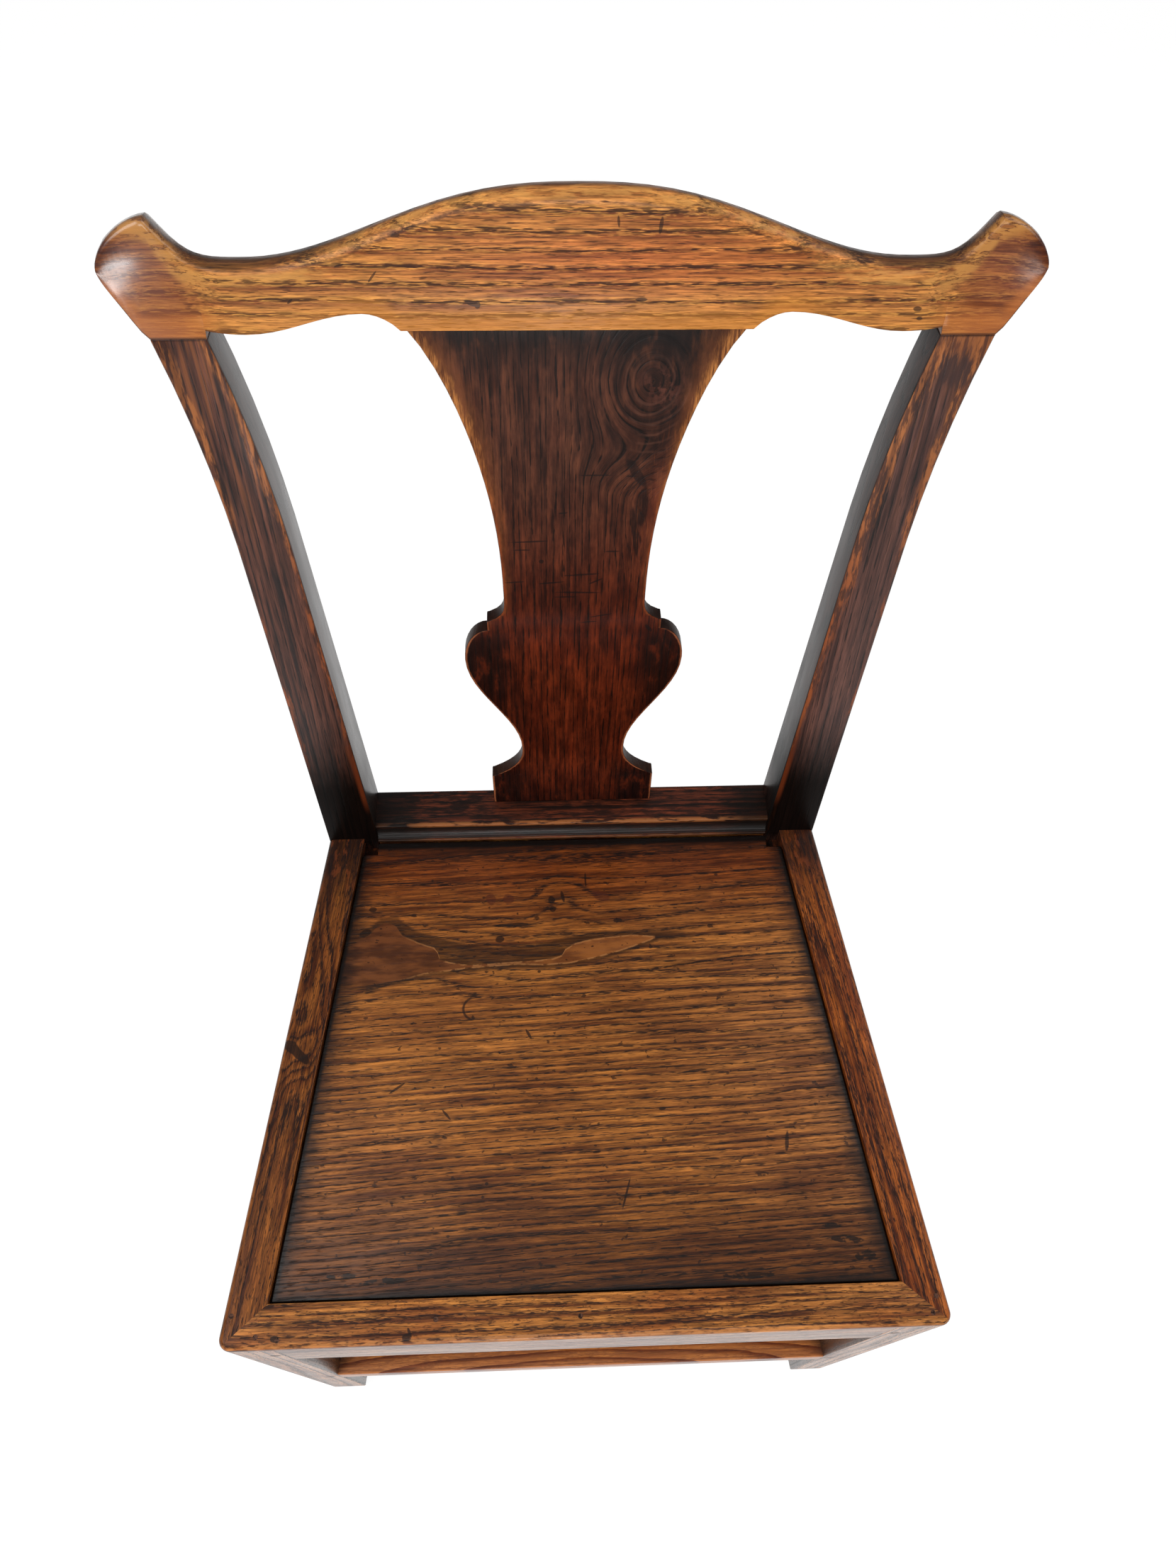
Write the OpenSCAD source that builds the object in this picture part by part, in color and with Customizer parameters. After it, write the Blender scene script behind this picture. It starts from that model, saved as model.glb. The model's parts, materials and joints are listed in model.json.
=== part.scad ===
// Country dining chair in solid wood: yoke crest rail, vase splat set in a moulded shoe,
// raked back posts, square front legs, lift-out seat board and a box of stretchers.
// Bench frame: x = 0 is the centre line, y = 0 the front face, z = 0 the floor.
// The finished chair is shifted back so that its origin lies under the middle of its box.

/* [Seat frame] */
// Height of the top of the seat rails above the floor
seat_h = 440; // [410:1:470]
// Width over the front corners of the seat frame
seat_front_w = 500; // [460:1:540]
// Width over the back posts at seat height
seat_rear_w = 404; // [380:1:430]
// Depth from the front face to the front faces of the back posts
seat_depth = 382; // [350:1:410]
// Height of the seat rails
rail_h = 82; // [72:1:95]
// Width of the rim that shows around the seat board
rim_w = 28.5; // [24:0.5:31]
// Thickness of the rims where they run over the front legs
lip_t = 7; // [5:0.5:9]
// Radius of the rounded front corners in plan
corner_r = 8; // [4:0.5:12]
// Radius of the worn top edge of the rims
arris_r = 4.5; // [2:0.5:5]

/* [Seat board] */
// Thickness of the lift-out seat board
board_t = 14; // [10:0.5:18]
// How far the board lies below the top of the rims
board_drop = 3.5; // [2:0.5:5]
// Open gap around the board
board_gap = 1; // [0.5:0.1:2]
// Depth of the notch in the board in front of each back post
notch_d = 10.5; // [6:0.5:14]

/* [Legs and stretchers] */
// Side of the square front legs
leg_w = 38; // [34:1:44]
// Width of a rear foot, seen from the front
rear_foot_w = 34; // [28:1:40]
// Depth of a rear foot, seen from the side
rear_foot_d = 34; // [28:1:40]
// Distance that the rear feet stand behind the seat's back line
rear_kick = 28; // [0:1:45]
// Height of the stretchers' upper edges above the floor
stretcher_z = 171; // [130:1:200]
// Height of a stretcher
stretcher_h = 30; // [24:1:36]
// Thickness of a stretcher
stretcher_t = 20; // [16:1:24]
// Distance of the side stretchers in from the outer faces of the legs
stretcher_inset = 9; // [5:0.5:11]

/* [Back posts] */
// Lean of the back from the vertical, in degrees
rake = 9.1; // [6:0.1:12]
// Length of a post along the rake, from the seat to the crest rail
post_len = 450; // [420:1:480]
// Width of a post at the seat
post_w_seat = 40.5; // [36:0.5:44]
// Width of a post under the crest rail
post_w_top = 30.5; // [27:0.5:34]
// Depth of a post at the seat
post_d_seat = 38; // [36:0.5:42]
// Straight outward lean of a post's outer edge, up to the crest rail
post_lean = 14; // [8:0.5:18]
// Extra outward sweep of both edges near the top
post_sweep = 12; // [6:0.5:16]

/* [Crest rail] */
// Half of the width over the ears
ear_x = 244.5; // [240:0.5:256]
// Thickness of the crest rail and of the posts under it
crest_t = 24; // [22:0.5:28]
// Height of the crown above the tops of the posts
crown_h = 76; // [66:1:86]
// Height of the saddles on each side of the crown
saddle_h = 38; // [34:1:44]
// Distance of the saddles from the centre line
saddle_x = 173; // [165:1:180]
// Height of the ears
ear_h = 61; // [55:1:66]
// Depth of the hollow carved in the face of each ear
ear_hollow = 5; // [0:0.5:7]
// Rise of the arches on each side of the splat
arch_h = 13.8; // [8:0.1:16]

/* [Splat and shoe] */
// Thickness of the splat
splat_t = 11; // [9:0.5:13]
// Half of the width of the splat under the crest rail
splat_top_x = 94.5; // [88:0.5:97]
// Half of the width at the upper neck
neck_x = 48; // [42:0.5:52]
// Half of the width over the lobes
lobe_x = 78; // [70:0.5:84]
// Half of the width at the lower neck
low_neck_x = 39.8; // [34:0.2:44]
// Half of the width of the block foot
foot_x = 65; // [58:0.5:72]
// Height of the shoe above the seat rails
shoe_h = 13; // [11:0.5:16]
// Distance of the shoe's top front edge behind its base
shoe_back = 6; // [4:0.5:8]

/* [Joints] */
// Thickness of the tenons on the rails
tenon_t = 8; // [6:0.5:9]
// Height of the tenons on the rails
tenon_h = 46; // [38:1:52]
// Thickness of the tenons on the stretchers
small_tenon_t = 7; // [5:0.5:8]
// Height of the tenons on the stretchers
small_tenon_h = 22; // [18:1:24]
// Gap between a tenon's cheek and its mortise
cheek_gap = 0.15; // [0.05:0.05:0.3]
// Gap between a tenon's end and the bottom of its mortise
end_gap = 1; // [0.5:0.1:2]
// Diameter of the pegs through the rail tenons
rail_peg_d = 8; // [6:0.5:9]
// Diameter of the pegs through the stretcher tenons
small_peg_d = 7; // [5:0.5:7.5]
// Diameter of the nails through the rims
nail_d = 3.4; // [2.5:0.1:4]
// Gap around a peg or nail in its hole
peg_gap = 0.05; // [0.03:0.01:0.1]

/* [Hidden] */
$fn = 64;

// Plan of the seat frame: the side runs straight from the front corner to the post
skew = (seat_front_w - seat_rear_w) / 2 / seat_depth;
skew_a = atan(skew);
function side_x(y) = seat_front_w / 2 - y * skew;
rim_x = rim_w / cos(skew_a);
ledge_z = seat_h - board_drop - board_t;
rail_z = seat_h - rail_h;
board_z = seat_h - board_drop;
big = 600;

// Rounded front corner: its centre and the length that it takes from each edge
corner_y = corner_r;
corner_x = side_x(corner_r) - corner_r / cos(skew_a);
corner_cut_len = corner_r / tan((90 - skew_a) / 2);

// Rail tenons: heights and places; each is rooted a little inside its own piece
root = 3;
tenon_z = rail_z + 12;
front_tenon_y = 9;
front_tenon_x = side_x(0) - 14;
side_tenon_x = side_x(leg_w) - 18;
side_tenon_y = 19.5;
rear_side_tenon_x = seat_rear_w / 2 - 20;
rear_side_tenon_len = 24;
rear_rail_t = post_d_seat - 1;
rear_tenon_x = seat_rear_w / 2 - 23;
rear_tenon_y = seat_depth + 16;

// Stretchers
stretcher_low = stretcher_z - stretcher_h;
small_tenon_z = stretcher_low + (stretcher_h - small_tenon_h) / 2;
stretcher_peg_z = stretcher_low + stretcher_h / 2;
front_small_tenon_y = 8;
side_small_tenon_x = 5;
rear_small_tenon_len = 20;
rear_stretcher_in = 10;
rear_small_tenon_y = 7;
rear_small_tenon_reach = 11;

// Tenons at the tops of the posts and of the splat
top_tenon_half_w = 9;
top_tenon_y = 8;
top_tenon_t = 8;
top_tenon_len = 24;
top_root = 6;
splat_tenon_in = 8;
splat_tenon_y = 2.5;
splat_tenon_t = 6;
splat_tenon_len = 10;
splat_root = 4;

// Glue blocks in the corners and the bearer behind the board
front_block_w = 40;
front_block_h = 52;
rear_block_w = 36;
rear_block_drop = 26;
rear_block_lift = 4;
bearer_d = 12;
bearer_h = 22;
board_to_shoe = 0.8;
notch_gap = 0.5;

// Thin gap of a glued butt joint
glue_gap = 0.02;

// Pegs and nails
peg_from_shoulder = 8;
side_peg_in = 9;
rear_peg_drop = 8;
rear_small_peg_in = 5.5;
rail_peg_len = 26;
small_peg_len = 22;
peg_drop = 49;
side_peg_drop = 31;
peg_z = seat_h - peg_drop;
side_peg_z = seat_h - side_peg_drop;
nail_len = 18;

// Nails driven into the rims at odd places: [in, back] from the sharp front corner of each
// side, then [right, back] from the centre of the front face
left_nails = [[8.5, 21.5], [26, 8], [40.5, 5.5]];
right_nails = [[14, 8], [10, 18.5]];
front_nails = [[-103.5, 15], [-5.5, 14]];

// Back posts: edges seen from the front, by height above the floor
joint_z = seat_h + post_len * cos(rake);
post_rise = joint_z - seat_h;
sweep_from = 0.63;
function sweep(t) = t < sweep_from ? 0 : post_sweep * pow((t - sweep_from) / (1 - sweep_from), 2.4);
function post_out(z) = let (t = max(0, (z - seat_h) / post_rise))
    seat_rear_w / 2 + post_lean * t + sweep(t);
function post_wide(z) = z > rail_z
    ? post_w_seat - (post_w_seat - post_w_top) * max(0, (z - seat_h) / post_rise)
    : rear_foot_w + (post_w_seat - rear_foot_w) * z / rail_z;
function post_in(z) = post_out(z) - post_wide(z);

// Back posts: faces seen from the side
function post_face(z) = z > seat_h ? seat_depth + (z - seat_h) * tan(rake)
    : z > rail_z ? seat_depth
    : seat_depth + rear_kick * (1 - z / rail_z);
post_heights = [0, rail_z, seat_h, for (k = [1 : 16]) seat_h + post_rise * k / 16, joint_z + 20];

// Crest rail: heights are measured up the rake from the tops of the posts
splat_joint_h = 4;
crown_round = 8;
ear_round = 4;
round_from = 150;
round_to = 200;
back_round = 14;
arch_x = 114;
pad_x = post_in(joint_z);
pad_h = 4.6;
pad_side = 0.3;
dip_x = pad_x - 21.5;
dip_h = 2.3;
ear_tip_x = ear_x - 27.7;
ear_low_x = post_out(joint_z) + 0.3;
ear_edge_h = 38;
ear_edge_t = 3;
hollow_x = 185;
function smooth(t) = let (c = min(1, max(0, t))) c * c * (3 - 2 * c);
function crown(x) = (crown_h + saddle_h) / 2
    + (crown_h - saddle_h) / 2 * cos(180 * pow(x / saddle_x, 1.25));
function ear_rise(x) = let (u = (x - saddle_x) / (ear_tip_x - saddle_x))
    saddle_h + (ear_h - saddle_h) * (1 - pow(max(0, 1 - pow(u, 4)), 1.2));
function ear_fall(x) = let (u = (x - ear_tip_x) / (ear_x - ear_tip_x), e = ear_edge_h + ear_edge_t / 2)
    e + (ear_h - e) * pow(max(0, 1 - pow(u, 1.5)), 0.6);
function crest_top(x) = x < saddle_x ? crown(x) : x < ear_tip_x ? ear_rise(x) : ear_fall(x);

// Lower edge: level over the splat, an arch, a long dip up to the pad's side, the pads that
// stand on the posts, and the round underside of the ears
function arch_in(x) = splat_joint_h
    + (arch_h - splat_joint_h) * pow(sin(90 * (x - splat_top_x) / (arch_x - splat_top_x)), 0.8);
function arch_out(x) = dip_h
    + (arch_h - dip_h) * (0.5 + 0.5 * cos(180 * (x - arch_x) / (dip_x - arch_x)));
function dip_out(x) = dip_h + (pad_h - dip_h) * pow((x - dip_x) / (pad_x - pad_side - dip_x), 2);
function ear_low(x) = let (u = (x - ear_low_x) / (ear_x - ear_low_x))
    (ear_edge_h - ear_edge_t / 2) * (0.58 * u + 0.42 * (1 - sqrt(max(0, 1 - u))));
function crest_low(x) = x <= splat_top_x ? splat_joint_h : x < arch_x ? arch_in(x)
    : x < dip_x ? arch_out(x) : x < pad_x - pad_side / 2 ? dip_out(x)
    : x <= ear_low_x ? 0 : ear_low(x);
function hollow(x, h) = x < hollow_x ? 0
    : ear_hollow * sin(180 * (x - hollow_x) / (ear_x - hollow_x)) * smooth((h - 3) / 28);
function tip_round(x) = x < ear_tip_x ? 0 : 0.6 * pow((x - ear_tip_x) / (ear_x - ear_tip_x), 2);
function front_round(x) = crown_round
    - (crown_round - ear_round) * smooth((x - round_from) / (round_to - round_from));

// Half of the stations along the crest rail, closer together where it curves more
half_stations = [for (k = [0 : 7]) splat_top_x * k / 8,
    for (k = [0 : 4]) splat_top_x + (arch_x - splat_top_x) * k / 5,
    for (k = [0 : 8]) arch_x + (dip_x - arch_x) * k / 9,
    for (k = [0 : 5]) dip_x + (pad_x - pad_side - dip_x) * k / 5,
    for (k = [0 : 4]) pad_x + (ear_tip_x - pad_x) * k / 5,
    for (k = [0 : 12]) ear_tip_x + (ear_x - ear_tip_x) * sin(90 * k / 12)];
stations = concat([for (k = [len(half_stations) - 1 : -1 : 1]) -half_stations[k]], half_stations);

// One cross-section of the crest rail, as [depth, height] from the front bottom edge round
function crest_ring(x) =
    let (a = abs(x), lo = crest_low(a), hi = crest_top(a), tall = hi - lo,
        rf = min(front_round(a), tall * 0.3), rb = min(back_round, tall * 0.45))
    concat(
        [for (f = [0, 0.25, 0.5, 0.75]) let (h = lo + (tall - rf) * f)
            [hollow(a, h) - tip_round(a) * sin(180 * f), h]],
        [for (q = [0 : 30 : 90]) [hollow(a, hi - rf) + rf * (1 - cos(q)), hi - rf + rf * sin(q)]],
        [for (q = [90 : -22.5 : 0]) [crest_t - rb * (1 - cos(q)), hi - rb + rb * sin(q)]],
        [[crest_t, lo]]);
ring_n = len(crest_ring(0));

// Splat: half-widths by height above the shoe, measured up the splat's own face
shoe_top = seat_h + shoe_h;
shoe_front = seat_depth - 1.7;
shoe_rear = seat_depth + rear_rail_t;
splat_y = shoe_rear - splat_t;
splat_set = 6;
socket_gap = 0.3;
shoe_lip = 2;
shoe_fillet = 3;
crest_under = [seat_depth + (post_len + splat_joint_h) * sin(rake) + splat_set * cos(rake),
    seat_h + (post_len + splat_joint_h) * cos(rake) - splat_set * sin(rake)];
splat_rake = atan((crest_under[0] - splat_y) / (crest_under[1] - shoe_top));
splat_len = (crest_under[1] - shoe_top) / cos(splat_rake);
foot_h = 35;
low_neck_s = 70;
lobe_s = 173;
ledge_s = 203;
fillet_s = 212;
neck_s = 237;
splat_spare = 40;
fillet_x = neck_x + 12.5;
function foot_curve(s) = low_neck_x
    + (foot_x - 1.5 - low_neck_x) * pow(1 - (s - foot_h) / (low_neck_s - foot_h), 2.6);
function belly(s) = low_neck_x
    + (lobe_x - low_neck_x) * (0.5 - 0.5 * cos(180 * (s - low_neck_s) / (lobe_s - low_neck_s)));
function lobe_top(s) = fillet_x
    + (lobe_x - fillet_x) * sqrt(max(0, 1 - pow((s - lobe_s) / (ledge_s - lobe_s), 2)));
function upper_cove(s) = neck_x + 11 * pow(1 - (s - fillet_s) / (neck_s - fillet_s), 5);
function flare(s) = let (t = (s - neck_s) / (splat_len - neck_s), w = splat_top_x - neck_x)
    neck_x + 0.9 * w * pow(t, 2.2) + 0.1 * w * pow(t, 12);
splat_edge = concat(
    [[foot_x, -splat_spare], [foot_x, foot_h]],
    [for (k = [0 : 7]) let (s = foot_h + (low_neck_s - foot_h) * k / 8) [foot_curve(s), s]],
    [for (k = [0 : 11]) let (s = low_neck_s + (lobe_s - low_neck_s) * k / 12) [belly(s), s]],
    [for (k = [0 : 8]) let (s = lobe_s + (ledge_s - lobe_s) * sin(90 * k / 8)) [lobe_top(s), s]],
    [[fillet_x, fillet_s]],
    [for (k = [0 : 7]) let (s = fillet_s + (neck_s - fillet_s) * k / 8) [upper_cove(s), s]],
    [for (k = [0 : 15]) let (s = neck_s + (splat_len - neck_s) * k / 15) [flare(s), s]],
    [[splat_top_x, splat_len + splat_spare]]);

// The back of the crest rail is the rearmost line of the chair
overall_d = seat_depth + sin(rake) * (post_len + crown_h - back_round) + cos(rake) * crest_t;

module place() {
    translate([0, -overall_d / 2, 0]) children();
}

module both_sides() {
    children();
    mirror([1, 0, 0]) children();
}

// Frame of the raked back: z runs up the rake from the seat, y = 0 is the front of the posts
module back_frame() {
    translate([0, seat_depth, seat_h]) rotate([-rake, 0, 0]) children();
}

// Frame of the splat: z runs up its face from the top of the shoe
module splat_frame() {
    translate([0, splat_y, shoe_top]) rotate([-splat_rake, 0, 0]) children();
}

// Prism over a plan outline between two heights
module slab(z0, z1) {
    translate([0, 0, z0]) linear_extrude(z1 - z0) children();
}

// Box between two corners, grown by a gap on every side
module block(a, b, gap = 0) {
    g = [gap, gap, gap];
    translate(a - g) cube(b - a + 2 * g);
}

module peg_y(x, y, z, d, length) {
    translate([x, y, z]) rotate([-90, 0, 0]) cylinder(d = d, h = length);
}

module peg_x(x, y, z, d, length) {
    translate([x, y, z]) rotate([0, 90, 0]) cylinder(d = d, h = length);
}

// Shapes shared by the pieces of the seat frame, drawn for the right side

// Opening that the rims leave for the board
module opening_2d() {
    y1 = seat_depth + post_d_seat;
    polygon([[-side_x(rim_w) + rim_x, rim_w], [side_x(rim_w) - rim_x, rim_w],
        [side_x(y1) - rim_x, y1], [-side_x(y1) + rim_x, y1]]);
}

module seat_pocket() {
    slab(ledge_z, seat_h + 10) opening_2d();
}

// Frames round the centre of the rounded front corner: the edge runs along y from there,
// and the outer face lies at x = corner_r
module side_edge() {
    translate([side_x(0), 0, 0]) rotate([0, 0, skew_a])
        translate([-corner_r, corner_cut_len, 0]) children();
}

module front_edge() {
    translate([corner_x, corner_y, 0]) mirror([1, 1, 0]) children();
}

// What a rim loses at its corner, rounded in plan, and along its worn top edge
module rim_cut(length) {
    r = arris_r;
    reach = corner_cut_len + 1;
    difference() {
        translate([0, -reach, -1]) cube([corner_r + 1, reach, seat_h + 2]);
        translate([0, 0, -2]) cylinder(r = corner_r, h = seat_h + 4);
    }
    difference() {
        translate([0, -reach, seat_h - r]) cube([corner_r + 1, reach, r + 1]);
        translate([0, 0, seat_h - r]) rotate_extrude() {
            square([corner_r - r, r]);
            intersection() {
                translate([corner_r - r, 0]) circle(r = r);
                square([corner_r, r]);
            }
        }
    }
    translate([corner_r - r, 0, seat_h - r]) difference() {
        cube([r + 1, length, r + 1]);
        translate([0, -1, 0]) rotate([-90, 0, 0]) cylinder(r = r, h = length + 2);
    }
}

// Corner to take off a front leg in plan, outside the same round
module leg_corner_cut() {
    t = corner_cut_len;
    out = [cos(skew_a), sin(skew_a)];
    tangent = [side_x(0) - t * sin(skew_a), t * cos(skew_a)];
    slab(-1, seat_h) difference() {
        polygon([[corner_x, corner_y], [corner_x, -5], [side_x(0) + 5, -5], tangent + 5 * out, tangent]);
        translate([corner_x, corner_y]) circle(r = corner_r);
    }
}

module leg_2d() {
    polygon([[side_x(0) - leg_w, 0], [side_x(0), 0], [side_x(leg_w), leg_w],
        [side_x(leg_w) - leg_w, leg_w]]);
}

module front_lip_2d() {
    polygon([[side_x(0) - leg_w - 5, 0], [side_x(0), 0], [side_x(rim_w) - rim_x, rim_w],
        [side_x(rim_w) - leg_w - 5, rim_w]]);
}

module side_lip_2d() {
    polygon([[side_x(0), 0], [side_x(leg_w + 5), leg_w + 5], [side_x(leg_w + 5) - rim_x, leg_w + 5],
        [side_x(rim_w) - rim_x, rim_w]]);
}

// All the nails; their holes are the same nails with a gap
module nails(gap = 0, out = 0) {
    right = [for (s = right_nails) [side_x(0) - s[0], s[1]]];
    left = [for (s = left_nails) [s[0] - side_x(0), s[1]]];
    for (s = concat(left, front_nails, right))
        translate([s[0], s[1], seat_h - nail_len])
            cylinder(d = nail_d + 2 * gap, h = nail_len + out);
}

// Tenons, drawn for the right side; a mortise is the same box with its gaps

module front_rail_tenon(gap = 0, deep = 0) {
    block([side_x(leg_w) - leg_w - root, front_tenon_y, tenon_z],
        [front_tenon_x + deep, front_tenon_y + tenon_t, tenon_z + tenon_h], gap);
}

module side_rail_front_tenon(gap = 0, deep = 0) {
    block([side_tenon_x, side_tenon_y - deep, tenon_z],
        [side_tenon_x + tenon_t, leg_w + root, tenon_z + tenon_h], gap);
}

module side_rail_rear_tenon(gap = 0, deep = 0) {
    block([rear_side_tenon_x, seat_depth - root, tenon_z],
        [rear_side_tenon_x + tenon_t, seat_depth + rear_side_tenon_len + deep, tenon_z + tenon_h], gap);
}

module rear_rail_tenon(gap = 0, deep = 0) {
    block([post_in(seat_h) - root, rear_tenon_y, tenon_z],
        [rear_tenon_x + deep, rear_tenon_y + tenon_t, tenon_z + tenon_h], gap);
}

module front_stretcher_tenon(gap = 0, deep = 0) {
    block([side_x(leg_w) - leg_w - root, front_small_tenon_y, small_tenon_z],
        [front_tenon_x + deep, front_small_tenon_y + small_tenon_t, small_tenon_z + small_tenon_h], gap);
}

module side_stretcher_tenons(gap = 0, deep = 0) {
    x = side_x(leg_w) - stretcher_inset - side_small_tenon_x - small_tenon_t;
    block([x, side_tenon_y - deep, small_tenon_z],
        [x + small_tenon_t, leg_w + root, small_tenon_z + small_tenon_h], gap);
    y1 = post_face(stretcher_z);
    x1 = side_x(y1) - stretcher_inset - side_small_tenon_x - small_tenon_t;
    block([x1, y1 - root, small_tenon_z],
        [x1 + small_tenon_t, y1 + rear_small_tenon_len + deep, small_tenon_z + small_tenon_h], gap);
}

module rear_stretcher_tenon(gap = 0, deep = 0) {
    y = post_face(stretcher_z) + rear_stretcher_in + rear_small_tenon_y;
    block([post_in(stretcher_low) - root, y, small_tenon_z],
        [post_in(stretcher_z) + rear_small_tenon_reach + deep, y + small_tenon_t,
        small_tenon_z + small_tenon_h], gap);
}

module post_top_tenon(gap = 0, deep = 0) {
    mid = (post_in(joint_z) + post_out(joint_z)) / 2;
    back_frame() block([mid - 1 - top_tenon_half_w, top_tenon_y, post_len - top_root],
        [mid - 1 + top_tenon_half_w, top_tenon_y + top_tenon_t, post_len + top_tenon_len + deep], gap);
}

module splat_top_tenon(gap = 0, deep = 0) {
    x = splat_top_x - splat_tenon_in;
    y = splat_set + splat_tenon_y;
    z = post_len + splat_joint_h;
    back_frame() block([-x, y, z - splat_root], [x, y + splat_tenon_t, z + splat_tenon_len + deep], gap);
}

// Pegs, drawn for the right side; a hole is the same peg with its gap

module rail_peg_set(gap = 0, out = 0) {
    d = rail_peg_d + 2 * gap;
    l = rail_peg_len + out;
    y_side = leg_w - side_peg_in;
    y_rear = seat_depth + side_peg_in;
    x_rear = post_in(seat_h) + peg_from_shoulder;
    peg_y(side_x(0) - leg_w + peg_from_shoulder, -out, peg_z, d, l);
    peg_x(side_x(y_side) - rail_peg_len, y_side, side_peg_z, d, l);
    peg_x(seat_rear_w / 2 - rail_peg_len, y_rear, side_peg_z, d, l);
    peg_y(x_rear, seat_depth + post_d_seat - rail_peg_len, peg_z - rear_peg_drop, d, l);
}

module small_peg_set(gap = 0, out = 0) {
    d = small_peg_d + 2 * gap;
    l = small_peg_len + out;
    y_side = leg_w - side_peg_in;
    y_rear = post_face(stretcher_peg_z) + side_peg_in;
    deep = rear_foot_d + (post_d_seat - rear_foot_d) * stretcher_peg_z / rail_z;
    peg_y(side_x(0) - leg_w + peg_from_shoulder, -out, stretcher_peg_z, d, l);
    peg_x(side_x(y_side) - small_peg_len, y_side, stretcher_peg_z, d, l);
    peg_x(seat_rear_w / 2 - small_peg_len, y_rear, stretcher_peg_z, d, l);
    peg_y(post_in(stretcher_peg_z) + rear_small_peg_in, post_face(stretcher_peg_z) + deep - small_peg_len,
        stretcher_peg_z, d, l);
}

// Crest rail

module crest_rail() {
    points = [for (x = stations) for (p = crest_ring(x)) [x, p[0], post_len + p[1]]];
    last = (len(stations) - 1) * ring_n;
    faces = concat(
        [[for (k = [0 : ring_n - 1]) k]],
        [[for (k = [ring_n - 1 : -1 : 0]) last + k]],
        [for (i = [0 : len(stations) - 2]) for (k = [0 : ring_n - 1]) for (side = [0, 1])
            let (a = i * ring_n + k, b = i * ring_n + (k + 1) % ring_n, c = a + ring_n, d = b + ring_n)
            side == 0 ? [a, c, b] : [b, c, d]]);
    color("peru") place() difference() {
        back_frame() polyhedron(points, faces);
        both_sides() post_top_tenon(cheek_gap, end_gap);
        splat_top_tenon(cheek_gap, end_gap);
    }
}

// Back posts with the rear legs, one piece each

module post_front_view() {
    outer = [for (z = post_heights) [post_out(z), z]];
    inner = [for (k = [len(post_heights) - 1 : -1 : 0]) [post_in(post_heights[k]), post_heights[k]]];
    translate([0, big, 0]) rotate([90, 0, 0]) linear_extrude(big)
        polygon(concat(outer, inner));
}

module post_side_view() {
    top = [post_face(joint_z), joint_z];
    rotate([90, 0, 90]) linear_extrude(big) polygon([
        [post_face(0), 0], [seat_depth, rail_z], [seat_depth, seat_h], top,
        top + crest_t * [cos(rake), -sin(rake)],
        [seat_depth + post_d_seat, seat_h + 12], [seat_depth + post_d_seat, rail_z],
        [post_face(0) + rear_foot_d, 0]]);
}

module right_post_solid() {
    difference() {
        union() {
            intersection() {
                post_front_view();
                post_side_view();
            }
            post_top_tenon();
        }
        side_rail_rear_tenon(cheek_gap, end_gap);
        rear_rail_tenon(cheek_gap, end_gap);
        side_stretcher_tenons(cheek_gap, end_gap);
        rear_stretcher_tenon(cheek_gap, end_gap);
        rail_peg_set(peg_gap, 1);
        small_peg_set(peg_gap, 1);
    }
}

module left_back_post() {
    color("saddlebrown") place() mirror([1, 0, 0]) right_post_solid();
}

module right_back_post() {
    color("saddlebrown") place() right_post_solid();
}

// Splat and its shoe

module splat_blank(gap = 0) {
    half = [for (p = splat_edge) [p[0] + gap, p[1]]];
    back = [for (k = [len(half) - 1 : -1 : 0]) [-half[k][0], half[k][1]]];
    translate([0, splat_t + gap, 0]) rotate([90, 0, 0]) linear_extrude(splat_t + 2 * gap)
        polygon(concat(half, back));
}

module splat() {
    color("sienna") place() union() {
        difference() {
            splat_frame() splat_blank();
            back_frame() block([-big, -big, post_len + splat_joint_h], [big, big, post_len + big]);
            block([-big, 0, 0], [big, big, board_z]);
        }
        splat_top_tenon();
    }
}

module shoe_2d() {
    z0 = board_z;
    y0 = shoe_front;
    y1 = shoe_front + shoe_back;
    z1 = shoe_top - shoe_lip;
    zf = z0 + shoe_fillet;
    zc = zf + 1.5;
    step = 1;
    yc = y0 + 1.6 * step;
    polygon(concat([[shoe_rear, shoe_top], [shoe_rear, z0], [y0, z0], [y0, zf], [y0 + step, zf],
        [y0 + step, zc]],
        [for (q = [0 : 15 : 90]) [yc + (y1 - yc) * sin(q), z1 - (z1 - zc) * cos(q)]],
        [[y1, shoe_top]]));
}

module shoe() {
    color("saddlebrown") place() difference() {
        intersection() {
            translate([-seat_rear_w / 2, 0, 0]) rotate([90, 0, 90]) linear_extrude(seat_rear_w) shoe_2d();
            translate([0, big, 0]) rotate([90, 0, 0]) linear_extrude(big) polygon([
                [-post_in(seat_h), 0], [post_in(seat_h), 0], [post_in(seat_h), seat_h],
                [post_in(shoe_top), shoe_top], [-post_in(shoe_top), shoe_top], [-post_in(seat_h), seat_h]]);
        }
        splat_frame() block([-foot_x - socket_gap, -0.2, -big], [foot_x + socket_gap, big, big]);
    }
}

// Seat rails

module front_seat_rail() {
    color("peru") place() difference() {
        union() {
            slab(rail_z, seat_h) polygon([[-side_x(0) + leg_w, 0], [side_x(0) - leg_w, 0],
                [side_x(leg_w) - leg_w, leg_w], [-side_x(leg_w) + leg_w, leg_w]]);
            both_sides() {
                slab(seat_h - lip_t, seat_h) front_lip_2d();
                front_rail_tenon();
            }
        }
        seat_pocket();
        both_sides() {
            front_edge() rim_cut(corner_x);
            rail_peg_set(peg_gap, 1);
        }
        nails(peg_gap, 1);
    }
}

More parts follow.
